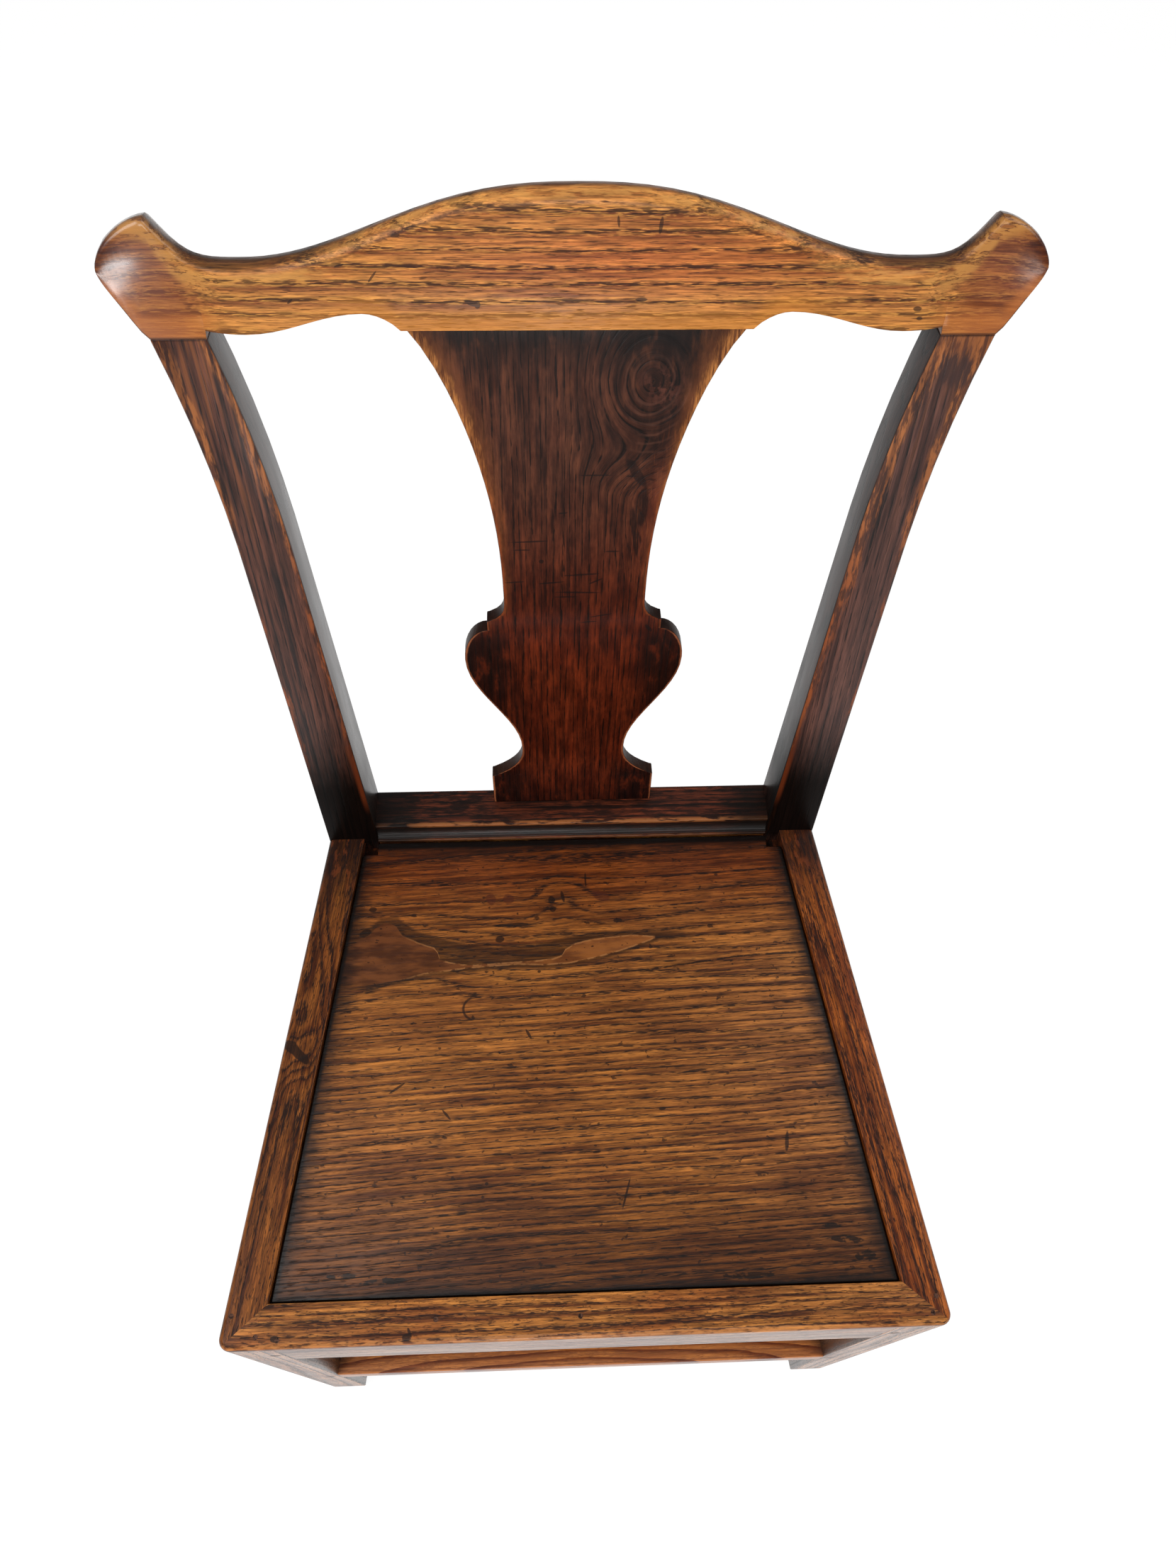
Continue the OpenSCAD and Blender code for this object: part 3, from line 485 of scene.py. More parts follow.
def crest_finish(woods):
    """Golden crest rail: rubbed front edge, red ears, dark top."""
    f = Finish("crest_wood")
    x, up, deep = back_place(f)
    wide = abs(x)
    below = f.curve(wide, outline("crest_rail", max, lambda up, deep: up > 34)) - up
    above = up - f.curve(wide, outline("crest_rail", min, lambda up, deep: deep < 6 and up < 24))
    f.wood(x, up, deep, ring=8.6, heart=(-900, 300), seed=11.0, bend=9.0, fray=0.8, light=woods.crest_light,
           dark=woods.crest_dark, pore=tone(46, 22, 12), flake=tone(214, 152, 72), loose=0.75, fibre=0.58,
           bands=0.6, uneven=0.7)
    place = f.xyz(x, up, deep)
    blotch = f.noise(place, (70, 22, 22), 4.4)
    flakes = f.noise(place, (13, 3.0, 4), 8.8, 3.0, 0.65)
    bits = f.rise(flakes, 0.42, 0.58)
    # A redder zone in the middle, gold along the lower edge.
    f.dim(f.hump(x, up, 35, 42, 110, 19), (246, 214, 218))
    low = f.fall(above, 3, 17) * f.rise(wide, 100, 150, 1.0, 0.35)
    f.stain(low, (202, 126, 36), 0.5)
    # The rubbed front edge: broad over the crown, a thin line under the dark roll of the dips.
    crown = f.fall(wide, 112, 150)
    dips = f.rise(wide, 108, 150) * f.fall(wide, 196, 212)
    edge = below + ((blotch - 0.5) * 8 + (flakes - 0.5) * 6)
    gold = f.most(crown * f.fall(edge, 1, 4.6), dips * f.band(edge, 7, 1.0, 4.0))
    rift = crown * f.band(edge, 4.6, 0.3, 0.8) * f.rise(flakes, 0.4, 0.52)
    f.stain(rift, (66, 36, 20), 0.6)
    f.cover(gold * (bits * 0.6 + 0.1), woods.crest_wear)
    roll = f.rise(wide, 90, 140) * f.fall(below + (flakes - 0.5) * 3, 0.4, 2.6)
    f.stain(roll, (58, 38, 24), 0.7)
    # Ears: red brown and polished, with gold flakes along their inner ridges.
    ears = f.rise(wide + blotch * 24, 202, 228)
    f.cover(ears * 0.6, woods.ear_red)
    dark_bars = ears * f.rise(f.noise(place, (40, 5, 9), 1.7, 2.0, 0.5), 0.52, 0.66)
    f.dim(dark_bars, (176, 150, 150), 0.8)
    tips = f.rise(wide + blotch * 14, 230, 250) * f.rise(up, 24, 46)
    f.dim(tips, (150, 120, 110), 0.8)
    ridge = f.band(wide + below * 1.4, 219, 8, 12) * f.fall(below, 11, 20)
    f.stain(ridge * f.rise(flakes, 0.4, 0.54, 0.25, 0.8), (186, 130, 66))
    cracks = ridge * f.band(flakes, 0.43, 0.008, 0.02)
    f.stain(cracks, (60, 34, 20), 0.6)
    foot = f.rise(wide + blotch * 10, 192, 206) * f.fall(above, 6, 20)
    f.stain(foot, (180, 104, 48), 0.5)
    # The top and the back are darker, with a dark line over each post's top.
    f.dim(f.rise(deep, 6, 12), (142, 132, 130))
    seam = f.rise(wide, 190, 193) * f.rise(above, 1.4, 0.5)
    f.stain(seam, (40, 20, 12), 0.7)
    nicks = f.marks(x, up, CREST_NICKS, flakes)
    f.stain(nicks, (34, 18, 12), 0.75)
    polish = f.rise(wide, 196, 222)
    rough = f.slope(blotch, 0.3, 0.7, 0.3, 0.42) + f.pores * 0.2
    rough = rough - polish * 0.08
    return f.done(rough, f.height * f.blend(polish, 1.0, 0.25), level=0.2,
                  coat=0.03 + polish * f.rise(x, 60, -60, 0.15, 0.95), coat_rough=0.23)


# Middle of the splat's burr. How far the finish is rubbed off from the left and the right edge
# inwards, as (height, reach) pairs. Scars round the neck and above it.
BURR_X, BURR_Z = 43, 852
LEFT_REACH = ((440, 0.0), (640, 0.0), (662, 2.2), (700, 3.0), (735, 3.4), (765, 4.0), (800, 5.6),
              (850, 7.0), (890, 8.0))
RIGHT_REACH = ((440, 0.0), (640, 0.0), (662, 2.2), (760, 2.4), (800, 2.8), (830, 4.5), (855, 7.0),
               (890, 13.0))
SPLAT_SCARS = (
    (12, 787, 10, 0.6, 0.0), (34, 786, 3, 0.5, 0.0), (-29, 735, 13, 0.7, 0.04), (-35, 728, 6, 0.6, 0.0),
    (-22, 718, 1.8, 1.6, 0.0), (5, 706, 12, 0.8, 0.06), (14, 700, 5, 0.7, 0.5), (-16, 699, 9, 0.7, 0.1),
    (2, 690, 15, 0.8, -0.03), (-6, 686, 8, 0.6, 0.0), (18, 668, 8, 0.6, 0.2), (10, 662, 6, 0.6, 0.1),
    (52, 655, 1.5, 4, 0.6), (-40, 700, 7, 0.6, 0.05), (24, 726, 5, 0.7, 0.0), (-8, 758, 3, 0.7, 0.1))


def splat_finish(woods):
    """Dark splat: rubbed orange outline, burr, near-black lobes and neck."""
    f = Finish("splat_wood")
    x, _, z = f.split(f.mm())
    wide = abs(x)
    _, up, deep = back_place(f)
    rim = f.curve(up, outline("splat", max, lambda up, deep: up < 6.0, "up")) - wide
    # The grain runs up the splat and bends round a burr near its top right corner.
    far = f.length(x - BURR_X, (z - BURR_Z) * 0.74)
    burr = f.fall(far, 20, 64)
    across = x + burr * (BURR_X - far - x)
    knot = f.hump(x, z, 40, 770, 8, 40, -0.2)
    low = f.rise(z, 640, 800)
    f.wood(up, across, deep, ring=4.6, heart=(-300, -30), seed=21.0, bend=5.0, fray=0.5,
           light=f.mix(low, woods.splat_light, tone(100, 56, 38)),
           dark=f.mix(low, woods.splat_dark, tone(54, 29, 21)), pore=tone(20, 10, 7), dash=15.0, line=0.4,
           loose=0.25, fibre=0.24, bands=0.15, uneven=2.0, knots=((knot, 2.0),))
    place = f.xyz(up, x, deep)
    blotch = f.noise(place, (80, 20, 20), 2.2)
    flakes = f.noise(place, (12, 2.6, 4), 6.1, 3.0, 0.7)
    hairs = f.noise(place, (26, 1.3, 2), 9.3, 3.0, 0.7)
    # Darker round the burr and on the outer parts of the lobes and the foot, and a painted shadow under the
    # crest rail.
    f.dim(f.rise(blotch, 0.36, 0.64, 0.0, 0.5), (170, 150, 140))
    f.dim(f.hump(x, z, 62, 848, 44, 46), (120, 120, 128), 0.9)
    wobble = f.noise(place, (30, 30, 30), 7.2, 2.0, 0.5)
    hoops = (f.rise(f.math("PINGPONG", far * 0.4 + wobble * 4.2, 1.0), 0.55, 0.95) * f.fall(far, 26, 48)
             * f.rise(rim, 4, 10) * f.rise(z, 876, 862) * f.rise(blotch, 0.4, 0.56) * f.rise(far, 4, 14))
    f.stain(hoops, (100, 62, 48), 0.42)
    ruddy = f.hump(x, z, 49, 848, 11, 13, 0.4) * f.rise(f.noise(place, (9, 7, 7), 3.3), 0.44, 0.56)
    f.stain(ruddy, (112, 64, 50), 0.6)
    f.stain(f.hump(x, z, 51, 762, 7, 32, -0.12), (112, 50, 30), 0.6)
    streak = f.marks(x, z, ((37, 788, 3.2, 12, 0.5), (41.5, 762, 4.0, 16, -0.05), (38, 742, 2.0, 22, 0.12)),
                     hairs)
    f.stain(streak, (28, 16, 14), 0.75)
    # Painted shadow: the splat is darkened to near black just under the crest rail, where the rail shades
    # it.
    shade = f.rise(z + (blotch - 0.5) * 16, 850, 882)
    f.stain(shade, (20, 14, 13), 0.8)
    lobes = f.rise(wide + (blotch - 0.5) * 30, 34, 62) * f.fall(z, 640, 672) * f.rise(z, 520, 545)
    f.stain(lobes, (18, 7, 5), 0.86)
    foot = f.rise(wide + (blotch - 0.5) * 24, 18, 46) * f.fall(z, 486, 520)
    base = f.fall(z, 455, 500)
    f.stain(f.most(foot * 0.85, base * 0.5), (14, 7, 6))
    # The finish is rubbed off along the outline: widely on the flares, as a thin line below.
    right = f.slope(f.math("SIGN", x), -1, 1)
    reach = (1.0 - right) * f.curve(z, LEFT_REACH) + right * f.curve(z, RIGHT_REACH)
    depth = rim / (reach + 0.01)
    grit = flakes * 0.5 + hairs * 0.5
    worn = f.rise((grit - 0.5) * 3.4 - depth, -1.1, -0.2) * f.rise(reach, 0.8, 2.0)
    worn = worn * f.fall(depth, 0.9, 1.7)
    thin = f.fall(rim + (flakes - 0.5) * 1.6, 0.9, 2.0) * f.fall(reach, 0.5, 2.0)
    orange = f.mix(f.rise(z + (flakes - 0.5) * 60, 730, 860), tone(142, 66, 30), tone(200, 130, 66))
    orange = f.mix(f.rise(hairs, 0.44, 0.62), orange, tone(96, 52, 26))
    halo = f.fall(depth + (flakes - 0.5) * 2.0, 0.6, 2.6) * f.rise(reach, 1.5, 4.0)
    f.stain(halo, (122, 68, 34), 0.55)
    f.cover(worn * 0.85, orange)
    f.stain(thin, (158, 92, 58), 0.8)
    speckle = f.rise(hairs, 0.55, 0.68) * f.fall(rim, 4, 26) * f.rise(z, 850, 800) * f.rise(z, 640, 720)
    f.stain(speckle, (140, 72, 34), 0.32)
    mottle = f.noise(place, (26, 9, 9), 13.1, 3.0, 0.65)
    f.dim(f.rise(mottle, 0.42, 0.66, 0.0, 0.7), (176, 160, 160))
    f.cover(f.rise(mottle, 0.46, 0.28, 0.0, 0.3), f.mix(low, tone(124, 46, 18), tone(116, 66, 42)))
    scars = f.marks(x, z, SPLAT_SCARS, flakes)
    f.stain(scars, (20, 11, 9), 0.75)
    f.dim(f.hump(x, z, -8, 690, 34, 22), (150, 150, 150), 0.5)
    _, ny, _ = f.facing()
    sides = f.rise(abs(ny), 0.75, 0.35)
    f.stain(sides, (18, 13, 11), 0.92)
    rough = f.slope(blotch, 0.3, 0.7, 0.34, 0.46)
    return f.done(rough, level=f.slope(z, 600, 860, 0.08, 0.16), bump=0.3)


def post_finish(woods):
    """Dark posts: rubbed inner front arris, golden tops, black feet."""
    f = Finish("post_wood")
    x, _, z = f.split(f.mm())
    _, up, deep = back_place(f)
    wide = abs(x)
    right = f.slope(f.math("SIGN", x), -1, 1)
    front = lambda up, deep: -POST_LENGTH - 1 < up < 2 and abs(deep) < 0.4
    inner = wide - f.curve(up, outline("right_back_post", min, front, "up"))
    outer = f.curve(up, outline("right_back_post", max, front, "up")) - wide
    f.wood(up, x, deep, ring=5.2, heart=(-600, 40), seed=31.0, bend=5.0, fray=0.5,
           light=f.mix(right, woods.post_light, tone(100, 64, 54)),
           dark=f.mix(right, woods.post_dark, tone(56, 34, 30)), pore=tone(22, 13, 11), dash=16.0,
           line=0.4, loose=0.3, fibre=0.26, bands=0.25, uneven=2.0)
    place = f.xyz(up, x, deep)
    flakes = f.noise(place, (18, 2.6, 4), 6.6, 3.0, 0.7)
    blotch = f.noise(place, (70, 12, 16), 3.3, 2.0)
    streaky = f.noise(place, (110, 4.6, 8), 5.5, 2.0, 0.55)
    nx, ny, _ = f.facing()
    face = f.rise(ny, -0.6, -0.85)
    # Orange where the finish is rubbed off: the inner front arris, wider higher up, and the outer edge.
    high = f.rise(up, -230, -40)
    reach = 2.2 + f.rise(up, -330, -90) * f.blend(right, 1.5, 5.0)
    ragged = inner + ((flakes - 0.5) * 9 + (blotch - 0.5) * 10)
    near = f.fall(ragged - reach, -2.2, 2.2)
    far = outer + ((flakes - 0.5) * 8 + (blotch - 0.5) * 16)
    far = f.fall(far - (0.2 + high * 6.0), -2.0, 2.0)
    orange = f.mix(f.rise(flakes, 0.42, 0.58), f.mix(high, tone(146, 76, 38), tone(172, 104, 54)),
                   tone(80, 44, 28))
    rubbed = f.most(near, far * 0.85) * face
    f.cover(rubbed * 0.88, orange)
    # Streaks of the same orange through the top, and a golden top on the right post.
    strips = f.rise(up, -190, -40) * f.rise(streaky, 0.5, 0.64) * face * f.blend(right, 1.0, 0.35)
    f.stain(strips, (138, 80, 42), 0.5)
    bars = f.rise(up, -250, -90) * f.rise(streaky, 0.52, 0.42) * face
    f.dim(bars, (150, 140, 140), 0.7)
    gold = f.rise(up + (blotch - 0.5) * 50, -30, -8) * right * face
    stain = f.rise(f.hump(x, up, 210, -22, 13, 14, 0.6) + (flakes - 0.5) * 1.3, 0.45, 0.8) * right * face
    f.cover(gold * 0.75, f.mix(f.rise(flakes, 0.42, 0.62), tone(150, 88, 44), tone(92, 50, 28)))
    f.stain(f.rise(up, -1.8, -0.6) * face, (34, 18, 12), 0.75)
    f.stain(stain, (52, 34, 32), 0.75)
    feet = f.fall(z + (flakes - 0.5) * 30, 498, 600) * f.rise(z, 396, 440) * f.rise(ny, 0.7, -0.2)
    f.stain(feet, (7, 5, 4), 0.97)
    low_line = f.fall(inner, 2.5, 5.5) * f.rise(z, 470, 500) * f.fall(z, 520, 580) * face
    f.stain(low_line, (110, 48, 22), 0.6)
    # Painted reflection: the posts' side faces above the seat are greyed as if they mirrored the pale
    # floor, and darker on the right post.
    sides = f.rise(abs(nx), 0.55, 0.8)
    f.cover(sides * f.rise(z, 440, 520, 0.0, 0.75), f.mix(right, tone(58, 50, 46), tone(36, 37, 37)))
    rough = f.slope(blotch, 0.3, 0.7, 0.34, 0.46) - sides * 0.08
    level = (0.24 + sides * f.blend(right, 0.42, -0.08)) * f.blend(feet, 1.0, 0.1)
    return f.done(rough, level=level, coat=sides * f.blend(right, 0.14, 0.0), coat_rough=0.25, bump=0.25)


def shoe_finish(woods):
    """Dark moulded shoe with a rubbed top arris."""
    f = Finish("shoe_wood")
    x, y, z = f.split(f.mm())
    f.wood(x, y, z, ring=4.0, heart=(-240, 100), seed=41.0, bend=10.0, light=woods.shoe_light,
           dark=woods.shoe_dark, pore=tone(16, 8, 6), dash=14.0, line=0.6, loose=0.6, fibre=0.4, bands=0.4,
           uneven=2.0)
    flakes = f.noise(f.mm(), (16, 4, 3), 5.0)
    drop = shoe_high.z - z
    run = y - shoe_low.y
    f.stain(f.rise(flakes, 0.48, 0.6), (22, 12, 9), 0.7)
    # Gold on the top's front arris and on the fillet at the base, and painted shade, near black, in the
    # cove between.
    arris = f.fall(drop, 1.6, 3.4) * f.fall(run, 7.5, 10.0) * f.rise(flakes, 0.62, 0.48)
    f.stain(arris, (160, 98, 52), 0.75)
    # Painted shade in the hollow of the cove.
    cove = f.rise(drop, 2.6, 4.4) * f.rise(z, shoe_low.z + 3.2, shoe_low.z + 4.2)
    f.stain(cove, (20, 14, 11), 0.85)
    fillet = f.fall(z, shoe_low.z + 2.8, shoe_low.z + 3.6) * f.rise(flakes, 0.36, 0.5)
    f.stain(fillet, (120, 74, 42), 0.55)
    ends = f.rise(abs(x) + (flakes - 0.5) * 30, 112, 146)
    left = f.rise(x, -64, -82) * f.rise(run, 12, 22) * f.rise(flakes, 0.4, 0.55)
    f.stain(f.most(ends * 0.85, left * 0.6), (12, 8, 6))
    return f.done(0.36, level=0.26, bump=0.25)


# Edges of the smooth patch on the seat board and of the dark figure behind it, as (x, y) pairs.
PATCH_REAR = ((-190, 37), (-173.5, 49), (-164, 54.5), (-160.5, 60), (-152.5, 64.5), (-144.3, 61.7),
              (-138.6, 53), (-124.3, 46), (-113, 41.9), (-110, 38), (-108, 31.3), (-96, 28.3), (-85, 26.4),
              (-47, 28.4), (-33, 29), (-19, 30.4), (-11.5, 33), (-9, 38), (-1, 42.7), (8, 45.1),
              (24, 47.3), (45, 49), (66, 47))
PATCH_FRONT = ((-190, 12), (-161, 12.5), (-137, 15.9), (-120, 20.5), (-103, 22.3), (-86, 24.4),
               (-68, 25.4), (-47, 26.6), (-26, 25.4), (-5, 26.6), (16, 30.9), (37.5, 36.7), (55.6, 43.1),
               (66, 47))
PATCH_DUSK = ((-190, 48), (-169, 58), (-156, 68), (-143, 69), (-128, 57), (-110, 51), (-89, 45),
              (-61, 41), (-33, 43), (-19, 46), (3, 51), (24, 53), (56, 52), (85, 51), (112, 47))

# The seat board's pits and rubbed places, and the line of its crack as (x, y) pairs.
BOARD_PITS = (
    (-50, 60, 16, 1.7, 0.03), (-61, 48, 3.6, 2.8, 0.0), (-19, 81, 3.2, 3.4, 0.3), (-18, 73, 2.6, 2.6, 0.0),
    (-10, 84, 1.4, 5.0, 0.2), (9, 99, 0.8, 6, 0.0), (-39, -30, 1.1, 4.5, 0.5), (-137, -69, 7.0, 0.9, 0.6),
    (150, -116, 1.4, 8, -0.15), (-163, 76, 3.4, 2.2, 0.0), (30, -150, 0.8, 12, -0.3),
    (-168, 56, 5, 3.4, 0.3), (88, -62, 9, 1.0, 0.1), (-100, -90, 0.9, 5, 0.7), (-30, 20, 1.4, 1.2, 0.0),
    (34, 62, 4, 1.6, 0.0), (60, -90, 2.6, 1.2, 0.2), (10, -120, 3.0, 1.0, 0.1), (-70, -140, 1.2, 1.2, 0.0))
FRONT_RUBS = ((-141, -203, 18, 2.4, 0.05), (-168, -199, 12, 2.0, 0.0), (112, -207, 20, 2.4, -0.03),
              (186, -186, 14, 2.6, -0.1), (176, -176, 9, 1.7, 0.0), (196, -197, 8, 4, 0.0))
CRACK_LINE = ((-20, 13.0), (61, 20.0), (96, 24.5), (126, 28.5), (150, 30.0), (190, 31.5))


def board_finish(woods):
    """Figured seat board with smooth patches, knots, pits, stains and a border of grime and painted shade.
    """
    f = Finish("board_wood")
    x, y, z = f.split(f.mm())
    deep = z - board_high.z
    spots = f.noise(f.mm(), (7, 5, 5), 12.0, 2.0)
    smudge = f.noise(f.mm(), (34, 9, 9), 14.0, 3.0, 0.65)
    blotch = f.noise(f.mm(), (90, 45, 45), 1.9)
    # A smooth patch at the left runs out into a lens near the middle, with dark figure along its rear edge.
    rear_edge = f.curve(x, PATCH_REAR)
    front_edge = f.curve(x, PATCH_FRONT)
    dusk_edge = f.curve(x, PATCH_DUSK)
    yr = y + (spots - 0.5) * 1.6
    inside = f.least(rear_edge - yr, yr - front_edge)
    span = f.rise(x, -190, -186) * f.rise(x, 64, 61)
    smooth = f.rise(inside, -0.4, 0.5) * span
    dusk = f.least(dusk_edge + (smudge - 0.5) * 9 - yr, yr - (front_edge - 3.5))
    dusk = f.rise(dusk, -1.5, 2.0) * f.rise(x, -178, -160) * f.rise(x, 108, 66)
    swell = f.hump(x, y, -128, 34, 62, 30)
    tent = abs(x + 11)
    point = f.rise(tent, 34, 0) * f.rise(y, 40, 74) * f.rise(y, 116, 86)
    ripple = f.hump(x, y, 45, 30, 70, 18, 0.2)
    f.wood(x, y - x * 0.045, deep, ring=5.0, heart=(140, -150), seed=51.0, bend=12.0, fray=0.9,
           light=woods.board_light, dark=woods.board_dark, pore=woods.board_pore, line=0.6, loose=0.7,
           fibre=0.5, bands=0.4, uneven=2.0, knots=((swell, 2.2), (point, 1.0), (ripple, 0.8)))
    f.dim(f.rise(blotch, 0.4, 0.68, 0.0, 0.6), (190, 172, 160))
    f.stain(dusk * f.rise(smudge, 0.3, 0.7, 0.85, 0.6), (40, 22, 11))
    glazed = f.mix(f.rise(smudge, 0.38, 0.62), tone(112, 62, 28), tone(72, 36, 16))
    pale = f.mix(f.rise(smudge, 0.36, 0.66), tone(146, 86, 38), tone(100, 54, 24))
    f.cover(smooth * 0.84, f.mix(f.rise(x, -60, -10), glazed, pale))
    glint = f.band(inside, 0.2, 0.3, 0.7) * span * f.rise(x, -150, -110) * f.rise(spots, 0.35, 0.5)
    f.stain(glint, (172, 116, 66), 0.5)
    rear = board_high.y - y
    f.dim(f.rise(rear - smudge * 50, -10, 90, 0.9, 0.0), (190, 148, 128))
    front = y - board_low.y
    f.dim(f.rise(front - smudge * 40, -6, 80, 0.9, 0.0), (160, 150, 150))
    f.cover(f.rise(spots, 0.66, 0.71) * 0.75, woods.board_pore)
    pits = f.marks(x, y, BOARD_PITS, spots)
    f.stain(pits, (24, 12, 7), 0.82)
    # Old spills have left plain red-brown blots.
    blots = f.marks(x, y, ((-68, 83, 4.0, 5.0, 0.2), (-54, 83, 4.5, 4.6, -0.3), (21, 84, 8.0, 4.0, -0.4)),
                    spots)
    f.stain(blots, (70, 26, 13), 0.6)
    far = f.length(x + 80, y + 9)
    dent = f.band(far, 9, 0.4, 1.0) * f.rise(x, -80, -84)
    f.stain(dent, (28, 14, 8), 0.8)
    worn = f.marks(x, y, FRONT_RUBS) + (spots - 0.5) * 2.5
    f.stain(f.rise(worn, 0.7, 1.0), (16, 9, 6), 0.85)
    # A crack runs in from the right edge, a little above the middle of the rear half.
    track = f.curve(x, CRACK_LINE) + (spots - 0.5) * 2.0
    crack = f.fall(abs(y - track), 0.5, 1.1) * f.rise(x, -10, 60) * f.rise(spots, 0.34, 0.46)
    f.stain(crack, (18, 9, 6), 0.85)
    # Grime and painted shade gather along the rims, most at the back and in the corners.
    width = board_high.x - front * math.tan(SIDE_SKEW)
    flank = width - abs(x)
    rim = f.least(f.least(front * 1.3, flank * 0.7), rear * 0.6)
    # Both bands are part grime and part painted shade. The near-black line at the very edge is painted
    # shadow, where the board sits below the rims.
    grime = f.fall(rim - smudge * 16, -7.0, 5.5)
    black = f.fall(rim - f.rise(rear, 12, 2) * 1.6, 1.2, 3.4)
    f.stain(grime, (24, 12, 8), 0.82)
    f.stain(black, (10, 6, 5), 0.95)
    rough = f.slope(blotch, 0.3, 0.7, 0.32, 0.46) + f.pores * 0.15
    return f.done(rough, f.height * (1.0 - smooth * 0.8), level=0.22, bump=0.4)


# Pits in the front rim.
RIM_PITS = ((-123, -239, 3.2, 2.4, 0.0), (-121, -236, 1.0, 3.4, 0.4), (-211, -237, 3.0, 2.2, 0.0))


def rail_finish(woods, name, run, seed, pits=()):
    """Seat rails, legs and stretchers: golden to red brown, rubbed arrises, dark rear ends on the side
    rails and painted shadow at the stretchers' ends.

    Their grain runs across the chair, along its side or up.
    """
    f = Finish(name)
    x, y, z = f.split(f.mm())
    side = f.math("SIGN", x)
    knots = ()
    if run == "side":
        c, k = math.cos(SIDE_SKEW), math.sin(SIDE_SKEW)
        wide = abs(x)
        along = y * c - wide * k + side * 700
        across = wide * c + y * k
        deep = z
        top = f.rise(z, SEAT_TOP - 30, SEAT_TOP)
        eye = top * f.hump(x, y, -213, -41, 16, 24, -0.7)
        swirl = top * f.hump(x, y, -206, 20, 14, 60, 0.1)
        knots = ((eye, 3.0), (swirl, 2.5))
        heart = (150, 300)
    elif run == "up":
        along, across, deep = z, x + side * 90, y
        heart = (-60, 300)
    else:
        along, across, deep = x, y, z
        heart = (-400, 300)
    f.wood(along, across, deep, ring=5.6, heart=heart, seed=seed, light=woods.rail_light,
           dark=woods.rail_dark, pore=tone(38, 18, 10), dash=7.0, line=0.8, loose=0.9, fibre=0.62,
           bands=0.6, uneven=2.2, knots=knots)
    place = f.xyz(along, across, deep)
    blotch = f.noise(place, (90, 26, 26), seed + 1.0)
    flakes = f.noise(place, (12, 4, 4), seed + 2.0, 3.0, 0.65)
    f.dim(f.rise(blotch, 0.42, 0.66, 0.0, 0.7), (186, 150, 138))
    specks = f.rise(f.noise(place, (4, 1.6, 1.6), seed + 3.0, 2.0), 0.6, 0.68)
    f.stain(specks, (44, 24, 14), 0.6)
    nx, _, nz = f.facing()
    lip = f.rise(nz, 0.3, 0.6) * f.fall(nz, 0.93, 0.99)
    f.stain(lip * 0.6 * f.rise(flakes, 0.4, 0.55), (190, 124, 66))
    if run == "side":
        left = f.slope(side, -1, 1, 1.0, 0.0)
        f.dim(left, (182, 162, 140), 0.9)
        f.dim(1.0 - left, (222, 182, 144), 0.9)
        rear = f.rise(y + (blotch - 0.5) * 60, 40, 132)
        f.stain(rear, (28, 13, 9), 0.82)
        ember = f.rise(y, 70, 110) * f.rise(flakes, 0.52, 0.6) * f.band(blotch, 0.5, 0.04, 0.06)
        f.stain(ember, (140, 66, 28), 0.3)
        eye_mark = f.marks(x, y, ((-213, -41, 15, 3.4, -0.7), (-218, -36, 6, 4.5, -0.7)), flakes)
        eye_mark = eye_mark * f.rise(z, SEAT_TOP - 16, SEAT_TOP - 5)
        f.stain(eye_mark, (30, 16, 10), 0.88)
    if run == "across":
        low = f.rise(z, 300, 250)
        # Painted light: the stretchers, which lie in the seat's shadow, are lightened towards a pale
        # orange.
        f.stain(low, (200, 120, 66), 0.4)
        arch = f.math("FRACT", f.length(x * 0.09, y - (FRONT_Y - 4)) * 0.16 + blotch * 0.8)
        f.dim(low * f.rise(arch, 0.45, 0.95), (150, 110, 100), 0.9)
        # Painted shadow of the legs, in a slanting band across each end of the stretchers.
        ends = f.rise(abs(x) + (y - FRONT_Y) * 0.8, 205, 222) * low
        f.stain(ends, (30, 17, 12), 0.8)
    if pits:
        f.stain(f.marks(x, y, pits, flakes), (22, 12, 8), 0.85)
    if run == "up":
        # Painted shade on the legs' inner faces, which face each other under the seat.
        painted_leg_shade = f.rise(side * nx, -0.5, -0.9)
        f.stain(painted_leg_shade, (30, 20, 16), 0.75)
    rough = f.slope(blotch, 0.3, 0.7, 0.3, 0.42) + f.pores * 0.15
    upright = f.rise(abs(nz), 0.5, 0.2)
    return f.done(rough, level=0.2 + upright * 0.26, coat=0.03 + upright * 0.26, coat_rough=0.22, bump=0.35)


def bare_finish(woods):
    """Unfinished wood of the blocks and bearer under the seat."""
    f = Finish("bare_wood")
    x, y, z = f.split(f.mm())
    f.wood(x, y, z, ring=5.0, heart=(-80, 200), seed=71.0, light=woods.bare_light, dark=woods.bare_dark,
           pore=tone(70, 46, 28))
    dust = f.noise(f.mm(), (60, 60, 30), 1.0)
    f.stain(f.rise(dust, 0.4, 0.7, 0.0, 0.6), (92, 70, 52))
    return f.done(0.75, level=0.3, bump=0.5)


def peg_finish():
    """Dark end grain of the pegs."""
    f = Finish("peg_end_grain")
    fine = f.noise(f.mm(), (0.7, 0.7, 0.7), 2.0, 2.0)
    slow = f.noise(f.mm(), (6, 6, 6), 5.0, 2.0)
    f.colour = f.mix(f.rise(fine, 0.4, 0.62), tone(86, 48, 28), tone(34, 16, 10))
    f.stain(f.rise(slow, 0.4, 0.7, 0.0, 0.6), (24, 12, 9))
    return f.done(0.5, fine, level=0.25, bump=0.4)


